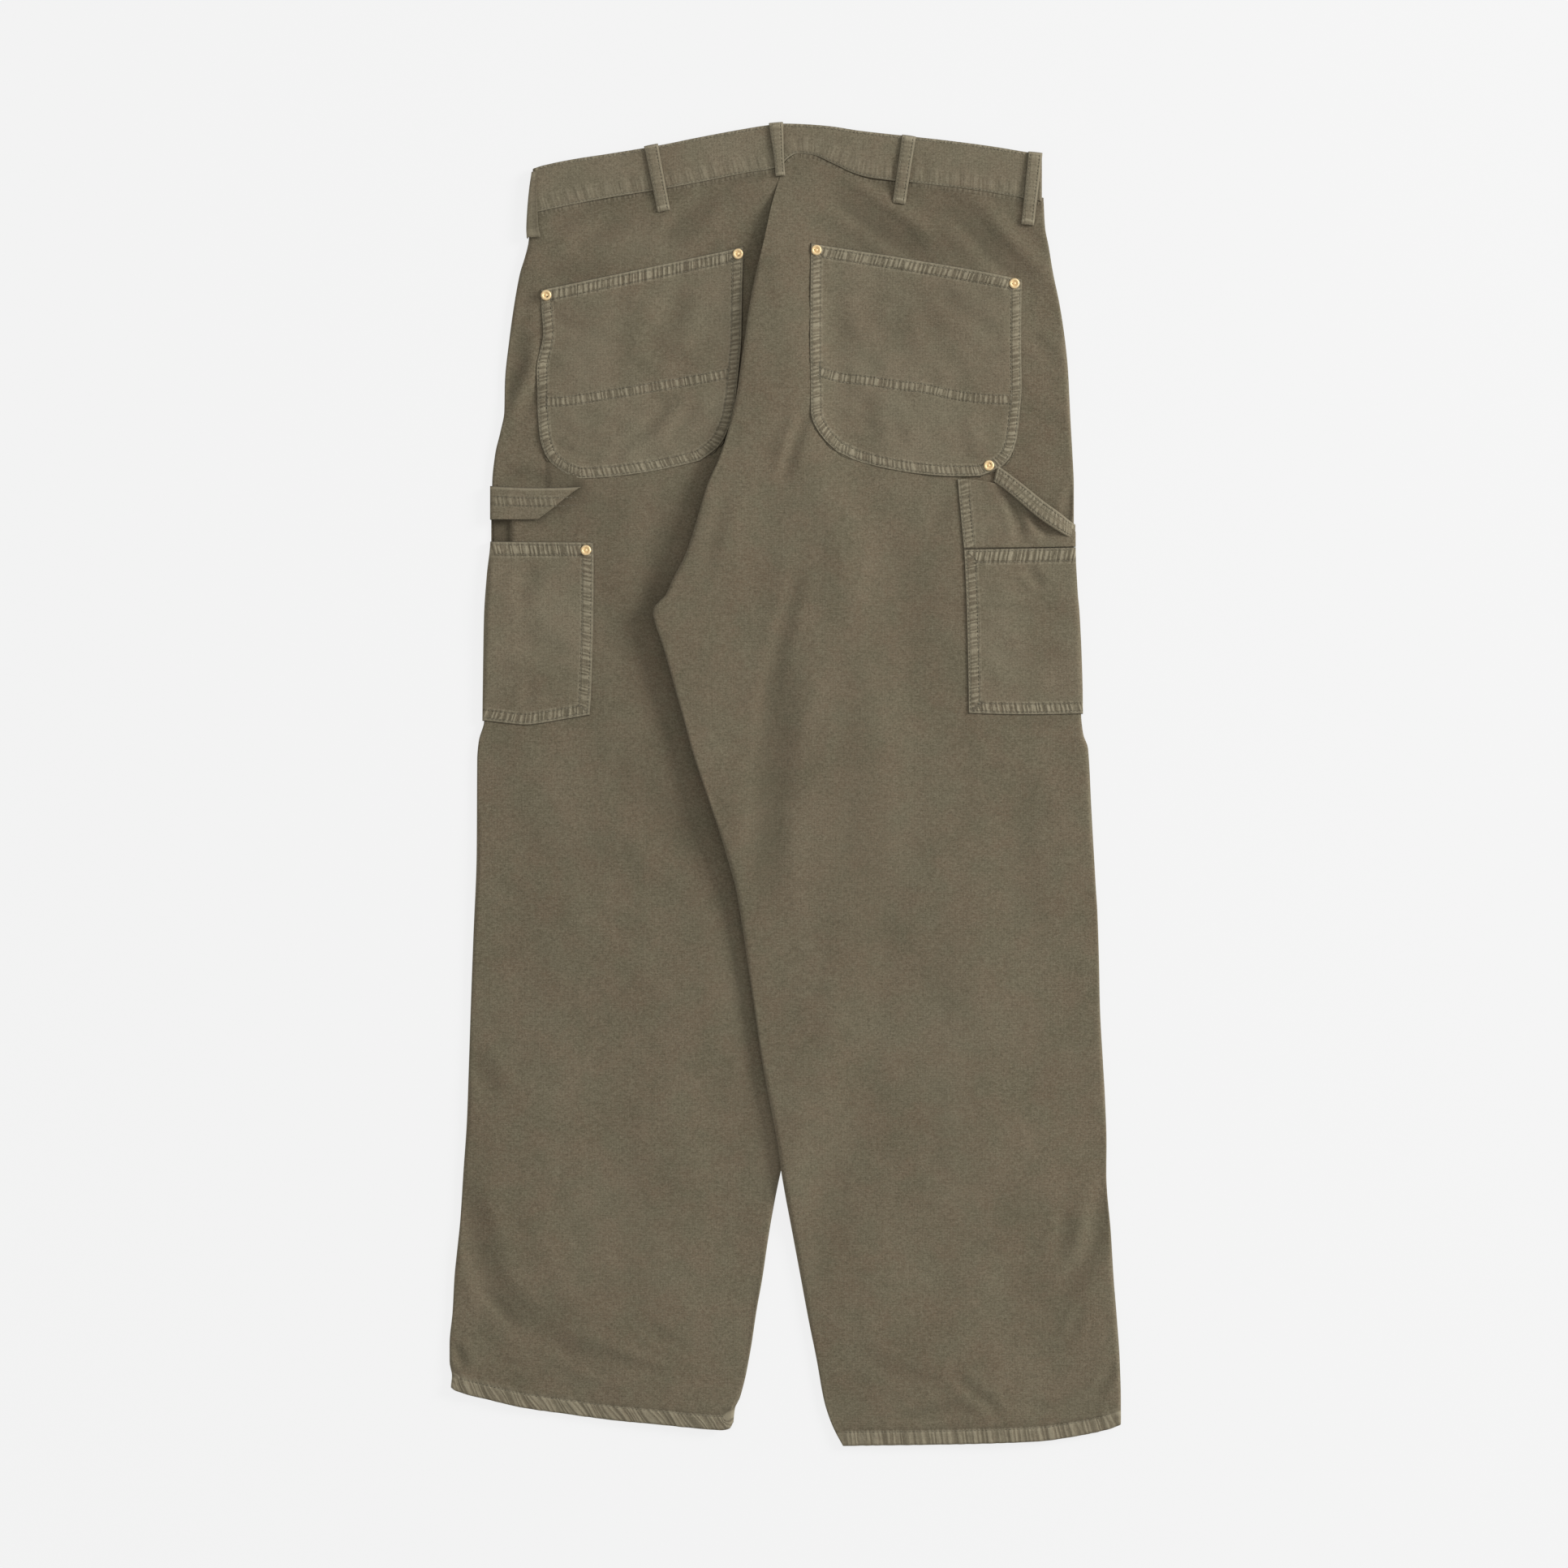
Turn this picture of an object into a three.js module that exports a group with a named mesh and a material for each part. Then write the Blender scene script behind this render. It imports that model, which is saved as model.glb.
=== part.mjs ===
// Carpenter trousers in canvas, laid flat with the back up.
// The fronts lie on the floor, the backs lie on them, and the right half lies partly on the left half.
// Millimetres. +X is the wearer's right, +Y runs up to the waist, +Z is up, and the floor is Z = 0.
import * as THREE from "three";

// Driving sizes
const CLOTH = 1.3;
const BAND_CLOTH = 2.0;
const PATCH_CLOTH = 1.2;
const SEAM_GAP = 0.3;
const EDGE_GAP = 0.5;
const LOFT = 2.4;
const ROLL = 14;
const ROLL_SHOULDER = 4;
const HEM_DEPTH = 11;
const HEM_EXTRA = 0.9;
const LOOP_ARCH = 1.3;
const LOOP_WIDTH = 11.7;
const STRAP_ARCH = 1.2;
const RIVET_RADIUS = 4.1;
const BUTTON_RADIUS = 8.5;

// Heights that follow from them
const FRONT_TOP = CLOTH;
const PLATEAU = FRONT_TOP + LOFT + CLOTH;
const OVERLAP_LIFT = PLATEAU + PATCH_CLOTH + 2.5 * SEAM_GAP;
const BAND_FRONT_UNDER = 1.6;
const BAND_LOFT = 0.8;
const BAND_BACK_UNDER = BAND_FRONT_UNDER + BAND_CLOTH + BAND_LOFT;
const BAND_TOP = BAND_BACK_UNDER + BAND_CLOTH;
const LIP_GAP = 1.5 * SEAM_GAP;

// The left half from the waist to the hem: where its outer and its inner edge lie at each height.
const LEFT_SECTIONS = [
  { y: 506, outer: -207.5, inner: -2.6 },
  { y: 470, outer: -209.5, inner: -13.2 },
  { y: 434, outer: -214, inner: -21.2 },
  { y: 421, outer: -218, inner: -24.5 },
  { y: 397, outer: -222.5, inner: -14 },
  { y: 365, outer: -227, inner: -4 },
  { y: 331, outer: -230.5, inner: -1 },
  { y: 289, outer: -234.5, inner: 4 },
  { y: 246, outer: -241, inner: 18 },
  { y: 201, outer: -241, inner: 36 },
  { y: 137, outer: -246.2, inner: 54 },
  { y: 75, outer: -247.2, inner: 60 },
  { y: 53, outer: -247.5, inner: 61 },
  { y: 36, outer: -252, inner: 61 },
  { y: -55, outer: -253.7, inner: 52 },
  { y: -122, outer: -256.3, inner: 42 },
  { y: -175, outer: -258.3, inner: 33 },
  { y: -242, outer: -260.5, inner: 18 },
  { y: -275, outer: -261.7, inner: 9 },
  { y: -318, outer: -264.6, inner: -3.6 },
  { y: -358, outer: -267.2, inner: -11.5 },
  { y: -405, outer: -272, inner: -18.7 },
  { y: -445, outer: -274, inner: -25.6 },
  { y: -470, outer: -276, inner: -29.6 },
  { y: -488, outer: -274.2, inner: -33 },
  { y: -512, outer: -273, inner: -41 },
  { y: -530, outer: -272, inner: -43 },
];

// The right half. Its inner edge is the seat fold down to the crotch, then the inside leg.
const RIGHT_SECTIONS = [
  { y: 519, inner: 2, outer: 211 },
  { y: 491, inner: -7, outer: 212 },
  { y: 470, inner: -12.3, outer: 213 },
  { y: 444, inner: -18, outer: 216.4 },
  { y: 421, inner: -23.7, outer: 220.2 },
  { y: 395, inner: -29, outer: 225.6 },
  { y: 358, inner: -34.5, outer: 231 },
  { y: 318, inner: -40.3, outer: 233.7 },
  { y: 301, inner: -44, outer: 234.5 },
  { y: 271, inner: -53, outer: 236.2 },
  { y: 246, inner: -63.7, outer: 237.3 },
  { y: 202, inner: -77, outer: 237.3 },
  { y: 168, inner: -92.3, outer: 238.4 },
  { y: 153, inner: -99.5, outer: 239.3 },
  { y: 147, inner: -106.3, outer: 240 },
  { y: 141, inner: -108.3, outer: 240.5 },
  { y: 132, inner: -106.3, outer: 241 },
  { y: 111, inner: -99.3, outer: 242 },
  { y: 48, inner: -81.6, outer: 243.4 },
  { y: 41, inner: -79.7, outer: 243.9 },
  { y: 30, inner: -76.7, outer: 248.8 },
  { y: -17, inner: -61.2, outer: 251.6 },
  { y: -65, inner: -46, outer: 254.3 },
  { y: -122, inner: -34.5, outer: 257.7 },
  { y: -183, inner: -25.4, outer: 258.8 },
  { y: -259, inner: -13.1, outer: 263 },
  { y: -319, inner: -3, outer: 264 },
  { y: -369, inner: 6, outer: 267.8 },
  { y: -405, inner: 12.7, outer: 270 },
  { y: -440, inner: 19.2, outer: 272.8 },
  { y: -472, inner: 25.7, outer: 275 },
  { y: -507, inner: 32.1, outer: 276 },
  { y: -530, inner: 40.2, outer: 275.5 },
  { y: -543.5, inner: 47.5, outer: 274.5 },
];

// Edges that run across: the waistband's two edges on the back and on the front, and the hems.
const BACK_WAIST_TOP = [
  { x: -207.5, y: 506 },
  { x: -174, y: 514 },
  { x: -146, y: 518.3 },
  { x: -104, y: 525.3 },
  { x: -35, y: 538.7 },
  { x: -1, y: 543.3 },
  { x: 35, y: 541.3 },
  { x: 62, y: 537.3 },
  { x: 134, y: 529.3 },
  { x: 169, y: 524.7 },
  { x: 211, y: 518 },
];
const BACK_WAIST_SEAM = [
  { x: -209.5, y: 469 },
  { x: -3, y: 508 },
  { x: 0.2, y: 512 },
  { x: 4.2, y: 516 },
  { x: 14.2, y: 518.5 },
  { x: 24.2, y: 516 },
  { x: 67.5, y: 500.3 },
  { x: 212.5, y: 478.7 },
];
const FRONT_WAIST_TOP = [
  { x: -207.5, y: 506 },
  { x: -120, y: 503 },
  { x: 0, y: 499 },
  { x: 120, y: 510 },
  { x: 211, y: 518 },
];
const FRONT_WAIST_SEAM = [
  { x: -209.5, y: 469 },
  { x: -192, y: 475 },
  { x: -120, y: 471 },
  { x: 0, y: 466 },
  { x: 120, y: 478 },
  { x: 190, y: 484 },
  { x: 212.5, y: 478.7 },
];
const LEFT_HEM = [
  { x: -275, y: -495 },
  { x: -240, y: -506 },
  { x: -178, y: -517.3 },
  { x: -106, y: -525.3 },
  { x: -51, y: -530 },
  { x: -44, y: -528 },
];
const RIGHT_HEM = [
  { x: 47.5, y: -543.3 },
  { x: 132, y: -542 },
  { x: 209, y: -539.3 },
  { x: 242, y: -534.7 },
  { x: 276, y: -526.5 },
];

// Where the right half is up on the left half: all of the lift between the two middle rows.
const LIFT_ALONG = [
  { y: 475, share: 0 },
  { y: 427, share: 1 },
  { y: -325, share: 1 },
  { y: -385, share: 0 },
];
const LIFT_RAMP = 17;

// Soft folds of the backs, each a ridge along a line.
const SOFT_FOLDS = [
  { fromX: 20, fromY: 235, toX: 30, toY: -70, halfWidth: 32, rise: 1.2 },
  { fromX: 140, fromY: 10, toX: 155, toY: -290, halfWidth: 48, rise: 1.0 },
  { fromX: -185, fromY: -20, toX: -175, toY: -300, halfWidth: 44, rise: 1.0 },
  { fromX: -70, fromY: -60, toX: -95, toY: -420, halfWidth: 40, rise: 0.9 },
  { fromX: 205, fromY: -330, toX: 120, toY: -470, halfWidth: 30, rise: 1.1 },
  { fromX: -235, fromY: -330, toX: -160, toY: -450, halfWidth: 30, rise: 1.1 },
];

const canvas = new THREE.MeshStandardMaterial({ color: 0x6e6754, roughness: 0.95 });
const brass = new THREE.MeshStandardMaterial({ color: 0xc9a15c, metalness: 0.9, roughness: 0.35 });

// Reads one column of a table at a value of another, on straight lines between the rows.
function readTable(table, key, at, column) {
  const rising = table[table.length - 1][key] > table[0][key];
  const rows = rising ? table : [...table].reverse();
  if (at <= rows[0][key]) return rows[0][column];
  const above = rows.findIndex((row) => row[key] >= at);
  if (above < 0) return rows[rows.length - 1][column];
  const low = rows[above - 1];
  const high = rows[above];
  const share = (at - low[key]) / (high[key] - low[key]);
  return low[column] + share * (high[column] - low[column]);
}

// A half of the trousers, with the edges that its rows and columns follow.
function makeHalf(sections, hem, isRight) {
  const edge = (name, y) => readTable(sections, "y", y, name);
  return {
    sections,
    hem,
    isRight,
    leftEdge: (y) => edge(isRight ? "inner" : "outer", y),
    rightEdge: (y) => edge(isRight ? "outer" : "inner", y),
    innerEdge: (y) => edge("inner", y),
  };
}
const leftHalf = makeHalf(LEFT_SECTIONS, LEFT_HEM, false);
const rightHalf = makeHalf(RIGHT_SECTIONS, RIGHT_HEM, true);

// How much of its full loft a leg has at a distance from its nearest side edge.
const ROLL_PROFILE = [
  { distance: 0, share: 0 },
  { distance: ROLL_SHOULDER, share: 0.6 },
  { distance: ROLL, share: 1 },
];

function rollShare(distance) {
  return readTable(ROLL_PROFILE, "distance", distance, "share");
}

// Where the right half starts to come down from the left half's inner edge.
function liftFoot(y) {
  return leftHalf.innerEdge(y) + 1;
}

// How far the left half below pushes the right half up.
function liftAt(x, y) {
  const past = x - liftFoot(y);
  const across = THREE.MathUtils.clamp(1 - past / LIFT_RAMP, 0, 1);
  return OVERLAP_LIFT * across * readTable(LIFT_ALONG, "y", y, "share");
}

// Height that one soft fold adds at a point.
function foldRise(fold, x, y) {
  const start = new THREE.Vector2(fold.fromX, fold.fromY);
  const run = new THREE.Vector2(fold.toX, fold.toY).sub(start);
  const offset = new THREE.Vector2(x, y).sub(start);
  const along = THREE.MathUtils.clamp(offset.dot(run) / run.lengthSq(), 0, 1);
  const away = offset.sub(run.multiplyScalar(along)).length() / fold.halfWidth;
  return away < 1 ? fold.rise * (1 - away * away) ** 2 : 0;
}

function foldsAt(x, y) {
  return SOFT_FOLDS.reduce((sum, fold) => sum + foldRise(fold, x, y), 0);
}

// The seat seam is flat near the waistband, and the inner edge rolls from below SEAT_FLAT down.
const SEAT_FLAT = [
  { y: 425, share: 0 },
  { y: 458, share: 1 },
];

// Distance from the nearest edge that rolls.
function edgeDistance(half, x, y) {
  const seat = ROLL * readTable(SEAT_FLAT, "y", y, "share");
  const fromLeft = x - half.leftEdge(y) + (half.isRight ? seat : 0);
  const fromRight = half.rightEdge(y) - x + (half.isRight ? 0 : seat);
  return Math.min(fromLeft, fromRight);
}

// Underside of a half's back cloth.
function backUnder(half, x, y) {
  const distance = edgeDistance(half, x, y);
  const loft = SEAM_GAP + (LOFT - SEAM_GAP + foldsAt(x, y)) * rollShare(distance);
  return FRONT_TOP + loft + (half.isRight ? liftAt(x, y) : 0);
}

function backTop(half, x, y) {
  return backUnder(half, x, y) + CLOTH;
}

// A wall of cloth between an outer and an inner grid of points. Rows run down and columns run right.
function clothWall(outer, inner) {
  const rows = outer.length;
  const columns = outer[0].length;
  const points = [...outer.flat(), ...inner.flat()];
  const at = (row, column) => row * columns + column;
  const under = rows * columns;
  const faces = [];
  for (let row = 0; row < rows - 1; row++) {
    for (let column = 0; column < columns - 1; column++) {
      const a = at(row, column);
      const b = at(row + 1, column);
      const c = at(row + 1, column + 1);
      const d = at(row, column + 1);
      faces.push(a, b, c, a, c, d);
      faces.push(under + a, under + c, under + b, under + a, under + d, under + c);
    }
  }
  const rim = [];
  for (let row = 0; row < rows - 1; row++) rim.push(at(row, 0));
  for (let column = 0; column < columns - 1; column++) rim.push(at(rows - 1, column));
  for (let row = rows - 1; row > 0; row--) rim.push(at(row, columns - 1));
  for (let column = columns - 1; column > 0; column--) rim.push(at(0, column));
  rim.forEach((from, index) => {
    const to = rim[(index + 1) % rim.length];
    faces.push(from, under + from, under + to, from, under + to, to);
  });
  const geometry = new THREE.BufferGeometry().setFromPoints(points);
  geometry.setIndex(faces);
  return geometry;
}

// Columns of one row of a leg: close together where an edge rolls and where the half climbs.
const LEAST_TO_FOOT = 4;
const LEAST_RAMP = 6;
const MIDDLE_SPANS = { left: 6, right: 4 };

function columnsOf(half, left, right, footY) {
  const start = [left, left + ROLL_SHOULDER, left + ROLL];
  const end = [right - ROLL, right - ROLL_SHOULDER, right];
  const middle = [];
  let from = left + ROLL;
  if (half.isRight) {
    const foot = Math.max(liftFoot(footY), from + LEAST_TO_FOOT);
    const ground = Math.max(liftFoot(footY) + LIFT_RAMP, foot + LEAST_RAMP);
    middle.push(foot, ground);
    from = ground;
  }
  const spans = half.isRight ? MIDDLE_SPANS.right : MIDDLE_SPANS.left;
  const width = right - ROLL - from;
  for (let step = 1; step < spans; step++) middle.push(from + (width * step) / spans);
  return [...start, ...middle, ...end];
}

// Rows of a half from its waist seam to its hem, each bent like the seam above and the hem below.
// A row is a share of the way down, and the hem's depth is a share of the mean length.
const MEAN_LENGTH = 1020;
const HEM_SHARE = HEM_DEPTH / MEAN_LENGTH;
const FIRST_ROW = 0.015;
const LAST_ROW = 1 - 1.6 * HEM_SHARE;
const ABOVE_HEM = 1 - 1.1 * HEM_SHARE;
const EDGE_PASSES = 12;

function legRows(half, waistSeam) {
  const hemY = (x) => readTable(half.hem, "x", x, "y");
  const topY = (x) => readTable(waistSeam, "x", x, "y") - LIP_GAP;
  const shareOf = (x, y) => (topY(x) - y) / (topY(x) - hemY(x));
  const yOf = (x, share) => topY(x) - share * (topY(x) - hemY(x));
  const sectionShares = half.sections
    .map((section) => shareOf(half.isRight ? section.inner : section.outer, section.y))
    .filter((share) => share > FIRST_ROW && share < LAST_ROW);
  const shares = [0, ...sectionShares, ABOVE_HEM, 1 - HEM_SHARE, 1];
  return shares.map((share) => {
    const edgePoint = (edge) => {
      let x = edge(0);
      for (let pass = 0; pass < EDGE_PASSES; pass++) x = edge(yOf(x, share));
      return x;
    };
    const left = edgePoint(half.leftEdge);
    const right = edgePoint(half.rightEdge);
    const footY = yOf(leftHalf.innerEdge(yOf(left, share)), share);
    const points = columnsOf(half, left, right, footY).map((x) => [x, yOf(x, share)]);
    return { inHem: share > ABOVE_HEM, points };
  });
}

function backPanel(half) {
  const rows = legRows(half, BACK_WAIST_SEAM);
  const raised = (x, y, extra) => new THREE.Vector3(x, y, backUnder(half, x, y) + extra);
  const thickness = (row) => CLOTH + (row.inHem ? HEM_EXTRA : 0);
  const outer = rows.map((row) => row.points.map(([x, y]) => raised(x, y, thickness(row))));
  const inner = rows.map((row) => row.points.map(([x, y]) => raised(x, y, 0)));
  return clothWall(outer, inner);
}

// The left front is flat, so three columns do for it.
const LEFT_FRONT_COLUMNS = [0, 5, 10];

function frontPanel(half) {
  const rows = legRows(half, FRONT_WAIST_SEAM);
  const floorAt = (x, y) => (half.isRight ? liftAt(x, y) : 0);
  const keep = (points) => (half.isRight ? points : LEFT_FRONT_COLUMNS.map((index) => points[index]));
  const wallAt = (extra) => rows.map((row) => keep(row.points).map(([x, y]) =>
    new THREE.Vector3(x, y, floorAt(x, y) + extra)));
  return clothWall(wallAt(CLOTH), wallAt(0));
}

// The waistband, one strip that goes from the centre front round the back to the centre front again.
const BAND_LEFT = -207.5;
const BAND_RIGHT = 211;
const BAND_TURN = 3;
const BAND_ROUND = 1.2;
const BAND_INSET = 2;
const BAND_INNER_ROUND = 0.2;
const LEAST_STATION = 0.9;
const FRONT_STATIONS_LEFT = [-0.5, -60, -120, -192, BAND_LEFT + BAND_TURN];
const FRONT_STATIONS_RIGHT = [BAND_RIGHT - BAND_TURN, 190, 120, 60, 0.5];

function frontStation(x) {
  const low = BAND_FRONT_UNDER;
  return { x, innerX: x, outerZ: low, innerZ: low + BAND_CLOTH, isFront: true };
}

function backStation(x) {
  return { x, innerX: x, outerZ: BAND_TOP, innerZ: BAND_BACK_UNDER, isFront: false };
}

// A station on the fold at a side of the band, with its corner cut on both faces of the cloth.
function foldStation(station, innerX) {
  const towardsMiddle = station.isFront ? 1 : -1;
  const outerZ = station.outerZ + towardsMiddle * BAND_ROUND;
  const innerZ = station.innerZ + towardsMiddle * BAND_INNER_ROUND;
  return { ...station, innerX, outerZ, innerZ };
}

function bandPath() {
  const insideTurns = (x) => x > BAND_LEFT + BAND_TURN && x < BAND_RIGHT - BAND_TURN;
  const knots = [...BACK_WAIST_TOP, ...BACK_WAIST_SEAM].map((knot) => knot.x).sort((a, b) => a - b);
  const marks = knots.filter((x, index) => insideTurns(x) && x - knots[index - 1] > LEAST_STATION);
  return [
    ...FRONT_STATIONS_LEFT.map(frontStation),
    foldStation(frontStation(BAND_LEFT), BAND_LEFT + BAND_INSET),
    foldStation(backStation(BAND_LEFT), BAND_LEFT + BAND_INSET),
    ...[BAND_LEFT + BAND_TURN, ...marks, BAND_RIGHT - BAND_TURN].map(backStation),
    foldStation(backStation(BAND_RIGHT), BAND_RIGHT - BAND_INSET),
    foldStation(frontStation(BAND_RIGHT), BAND_RIGHT - BAND_INSET),
    ...FRONT_STATIONS_RIGHT.map(frontStation),
  ];
}

function waistband() {
  const stations = bandPath();
  const topY = (s) => readTable(s.isFront ? FRONT_WAIST_TOP : BACK_WAIST_TOP, "x", s.x, "y");
  const seamY = (s) => readTable(s.isFront ? FRONT_WAIST_SEAM : BACK_WAIST_SEAM, "x", s.x, "y");
  const yAt = (s, share) => topY(s) + share * (seamY(s) - topY(s));
  const shares = [0, 0.5, 1];
  const outerPoint = (s, share) => new THREE.Vector3(s.x, yAt(s, share), s.outerZ);
  const innerPoint = (s, share) => new THREE.Vector3(s.innerX, yAt(s, share), s.innerZ);
  const outer = shares.map((share) => stations.map((s) => outerPoint(s, share)));
  const inner = shares.map((share) => stations.map((s) => innerPoint(s, share)));
  return clothWall(outer, inner);
}

// Evenly spaced points from one end of a section to the other, bowed down in the middle by its sag.
function sectionPoints(section, count) {
  const points = [];
  for (let step = 0; step < count; step++) {
    const share = step / (count - 1);
    const x = section.leftX + share * (section.rightX - section.leftX);
    const straight = section.leftY + share * (section.rightY - section.leftY);
    points.push([x, straight - (section.sag ?? 0) * 4 * share * (1 - share)]);
  }
  return points;
}

// A piece that lies on a half's back: its plan points are laid on the cloth below and moved out.
function patchOn(half, planRows, standOff = () => 0) {
  const lay = (extra) => planRows.map((row, index) => row.map(([x, y]) =>
    new THREE.Vector3(x, y, backTop(half, x, y) + SEAM_GAP + standOff(index) + extra)));
  return clothWall(lay(PATCH_CLOTH), lay(0));
}

// Back pockets, from the mouth down to the rounded bottom.
const LEFT_POCKET = [
  { leftX: -201, leftY: 406.7, rightX: -34, rightY: 442.3 },
  { leftX: -201, leftY: 396, rightX: -34.3, rightY: 431 },
  { leftX: -199.4, leftY: 371, rightX: -35, rightY: 400 },
  { leftX: -204.6, leftY: 342, rightX: -35.5, rightY: 367 },
  { leftX: -204.3, leftY: 315, rightX: -38, rightY: 338 },
  { leftX: -202.5, leftY: 288, rightX: -42, rightY: 305 },
  { leftX: -197.7, leftY: 271, rightX: -50, rightY: 284 },
  { leftX: -190, leftY: 261, rightX: -58, rightY: 274, sag: 2 },
  { leftX: -171, leftY: 251.5, rightX: -70, rightY: 266, sag: 3 },
];
const RIGHT_POCKET = [
  { leftX: 21, leftY: 444.7, rightX: 195, rightY: 416, sag: -1 },
  { leftX: 20.5, leftY: 434, rightX: 194.8, rightY: 405.5 },
  { leftX: 20, leftY: 365, rightX: 194.3, rightY: 357 },
  { leftX: 20.3, leftY: 330, rightX: 194.7, rightY: 328 },
  { leftX: 20.5, leftY: 305, rightX: 193, rightY: 305 },
  { leftX: 24, leftY: 294, rightX: 191, rightY: 286 },
  { leftX: 31, leftY: 284, rightX: 187, rightY: 272 },
  { leftX: 41, leftY: 274, rightX: 181, rightY: 263.5, sag: 1 },
  { leftX: 53, leftY: 267.5, rightX: 173, rightY: 258, sag: 2 },
  { leftX: 69.7, leftY: 262.5, rightX: 160, rightY: 253.3, sag: 3.4 },
];

const POCKET_COLUMNS = 6;

function backPocket(half, sections) {
  return patchOn(half, sections.map((section) => sectionPoints(section, POCKET_COLUMNS)));
}

// Tool pockets go round the outer edge. Height of the mouth and the bottom at both sides.
const LEFT_TOOL_POCKET = [
  { edgeY: 200, innerX: -157.7, innerY: 199.5, sag: 0 },
  { edgeY: 188, innerX: -157, innerY: 187, sag: 0 },
  { edgeY: 137, innerX: -157.3, innerY: 137, sag: 0 },
  { edgeY: 75, innerX: -159, innerY: 77, sag: 0 },
  { edgeY: 54, innerX: -160.3, innerY: 58, sag: 8 },
];
const RIGHT_TOOL_POCKET = [
  { edgeY: 195.3, innerX: 146.3, innerY: 193.6, sag: 0 },
  { edgeY: 184, innerX: 147, innerY: 182, sag: 0 },
  { edgeY: 137, innerX: 148.7, innerY: 137, sag: 0 },
  { edgeY: 75, innerX: 150, innerY: 75, sag: 0 },
  { edgeY: 58.3, innerX: 150.3, innerY: 58.6, sag: 1 },
];
const SIDE_PANEL = [
  { edgeY: 208, innerX: 141, innerY: 251, sag: -12 },
  { edgeY: 203, innerX: 143, innerY: 229, sag: -5 },
  { edgeY: 195.8, innerX: 146.2, innerY: 194.2, sag: 0 },
];

// A piece that starts on the back and turns down round the outer edge, stopping above the floor.
// Its first columns are shares of the way from its inner side to where the edge rolls.
const EDGE_PIECE_SHARES = [0, 0.35, 0.7];

function edgePiece(half, sections) {
  const sign = half.isRight ? 1 : -1;
  const edgeX = half.isRight ? half.rightEdge : half.leftEdge;
  const pointsOf = (section, extra) => {
    const edge = edgeX(section.edgeY);
    const flatEnd = edge - sign * ROLL;
    const xs = EDGE_PIECE_SHARES.map((share) => section.innerX + share * (flatEnd - section.innerX));
    xs.push(flatEnd, edge - sign * ROLL_SHOULDER, edge);
    const row = xs.map((x) => {
      const share = (x - section.innerX) / (edge - section.innerX);
      const bow = 4 * section.sag * share * (1 - share);
      const y = section.innerY + share * (section.edgeY - section.innerY) - bow;
      return new THREE.Vector3(x, y, backTop(half, x, y) + EDGE_GAP + extra);
    });
    const lip = edge + sign * (LIP_GAP + extra);
    row[row.length - 1].x = lip;
    row.push(new THREE.Vector3(lip, section.edgeY, SEAM_GAP));
    return half.isRight ? row : row.reverse();
  };
  const lay = (extra) => sections.map((section) => pointsOf(section, extra));
  return clothWall(lay(PATCH_CLOTH), lay(0));
}

// Straps for a hammer. The left one crosses the outer edge, the right one hangs from the pocket.
const LEFT_STRAP = [
  { edgeY: 245.5, innerX: -168, innerY: 245, sag: 0 },
  { edgeY: 236, innerX: -180, innerY: 236, sag: 0 },
  { edgeY: 227, innerX: -191, innerY: 227, sag: 0 },
  { edgeY: 218, innerX: -203, innerY: 218, sag: 0 },
];
const RIGHT_STRAP = [
  { lowX: 177, lowY: 244.5, highX: 177.5, highY: 258.5 },
  { lowX: 186, lowY: 237.5, highX: 196, highY: 245.5 },
  { lowX: 207, lowY: 219.5, highX: 214, highY: 231 },
  { lowX: 222.5, lowY: 209, highX: 222.5, highY: 225 },
  { lowX: 233, lowY: 203.5, highX: 233, highY: 217 },
  { lowX: 236.8, lowY: 202, highX: 236.8, highY: 214.5 },
];

function rightStrap() {
  const last = RIGHT_STRAP.length - 1;
  const planRows = RIGHT_STRAP.map(({ lowX, lowY, highX, highY }) => [
    [lowX, lowY],
    [(lowX + highX) / 2, (lowY + highY) / 2],
    [highX, highY],
  ]);
  const overPanel = PATCH_CLOTH + 2 * SEAM_GAP;
  const arch = (index) => STRAP_ARCH * Math.sin((Math.PI * index) / last);
  return patchOn(rightHalf, planRows, (index) => overPanel + arch(index));
}

// Belt loops on the back of the waistband, each from its upper end to its lower end.
const BELT_LOOPS = [
  { name: "belt_loop_back_left", topX: -110.3, topY: 525.2, endX: -99.7, endY: 471.2 },
  { name: "belt_loop_centre", topX: -7.7, topY: 543.8, endX: -3.7, endY: 503, endOnBand: true },
  { name: "belt_loop_back_right", topX: 101.7, topY: 533, endX: 93.3, endY: 477.5 },
  { name: "belt_loop_side_right", topX: 205.5, topY: 519.2, endX: 199, endY: 460 },
];
const LOOP_STATIONS = [
  { share: 0, rise: 0, onBand: true },
  { share: 0.12, rise: 0.8, onBand: true },
  { share: 0.45, rise: 1, onBand: true },
  { share: 0.68, rise: 0.7, onBand: true },
  { share: 0.86, rise: 0.2, onBand: false },
  { share: 1, rise: 0, onBand: false },
];

function beltLoop(loop) {
  const lay = (extra) => LOOP_STATIONS.map((station) => {
    const x = loop.topX + station.share * (loop.endX - loop.topX);
    const y = loop.topY + station.share * (loop.endY - loop.topY);
    const base = station.onBand || loop.endOnBand ? BAND_TOP : PLATEAU;
    const z = base + SEAM_GAP + LOOP_ARCH * station.rise + extra;
    return [-0.5, 0.5].map((side) => new THREE.Vector3(x + side * LOOP_WIDTH, y, z));
  });
  return clothWall(lay(PATCH_CLOTH), lay(0));
}

// The belt loop at the left side, seen edge-on where the waistband folds round.
const SIDE_LOOP = [
  { y: 502, foldX: -208.6, backX: -201.5 },
  { y: 480, foldX: -210.2, backX: -200.5 },
  { y: 452, foldX: -212.9, backX: -200.5 },
];
const SIDE_LOOP_WALL = 0.8;

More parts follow.
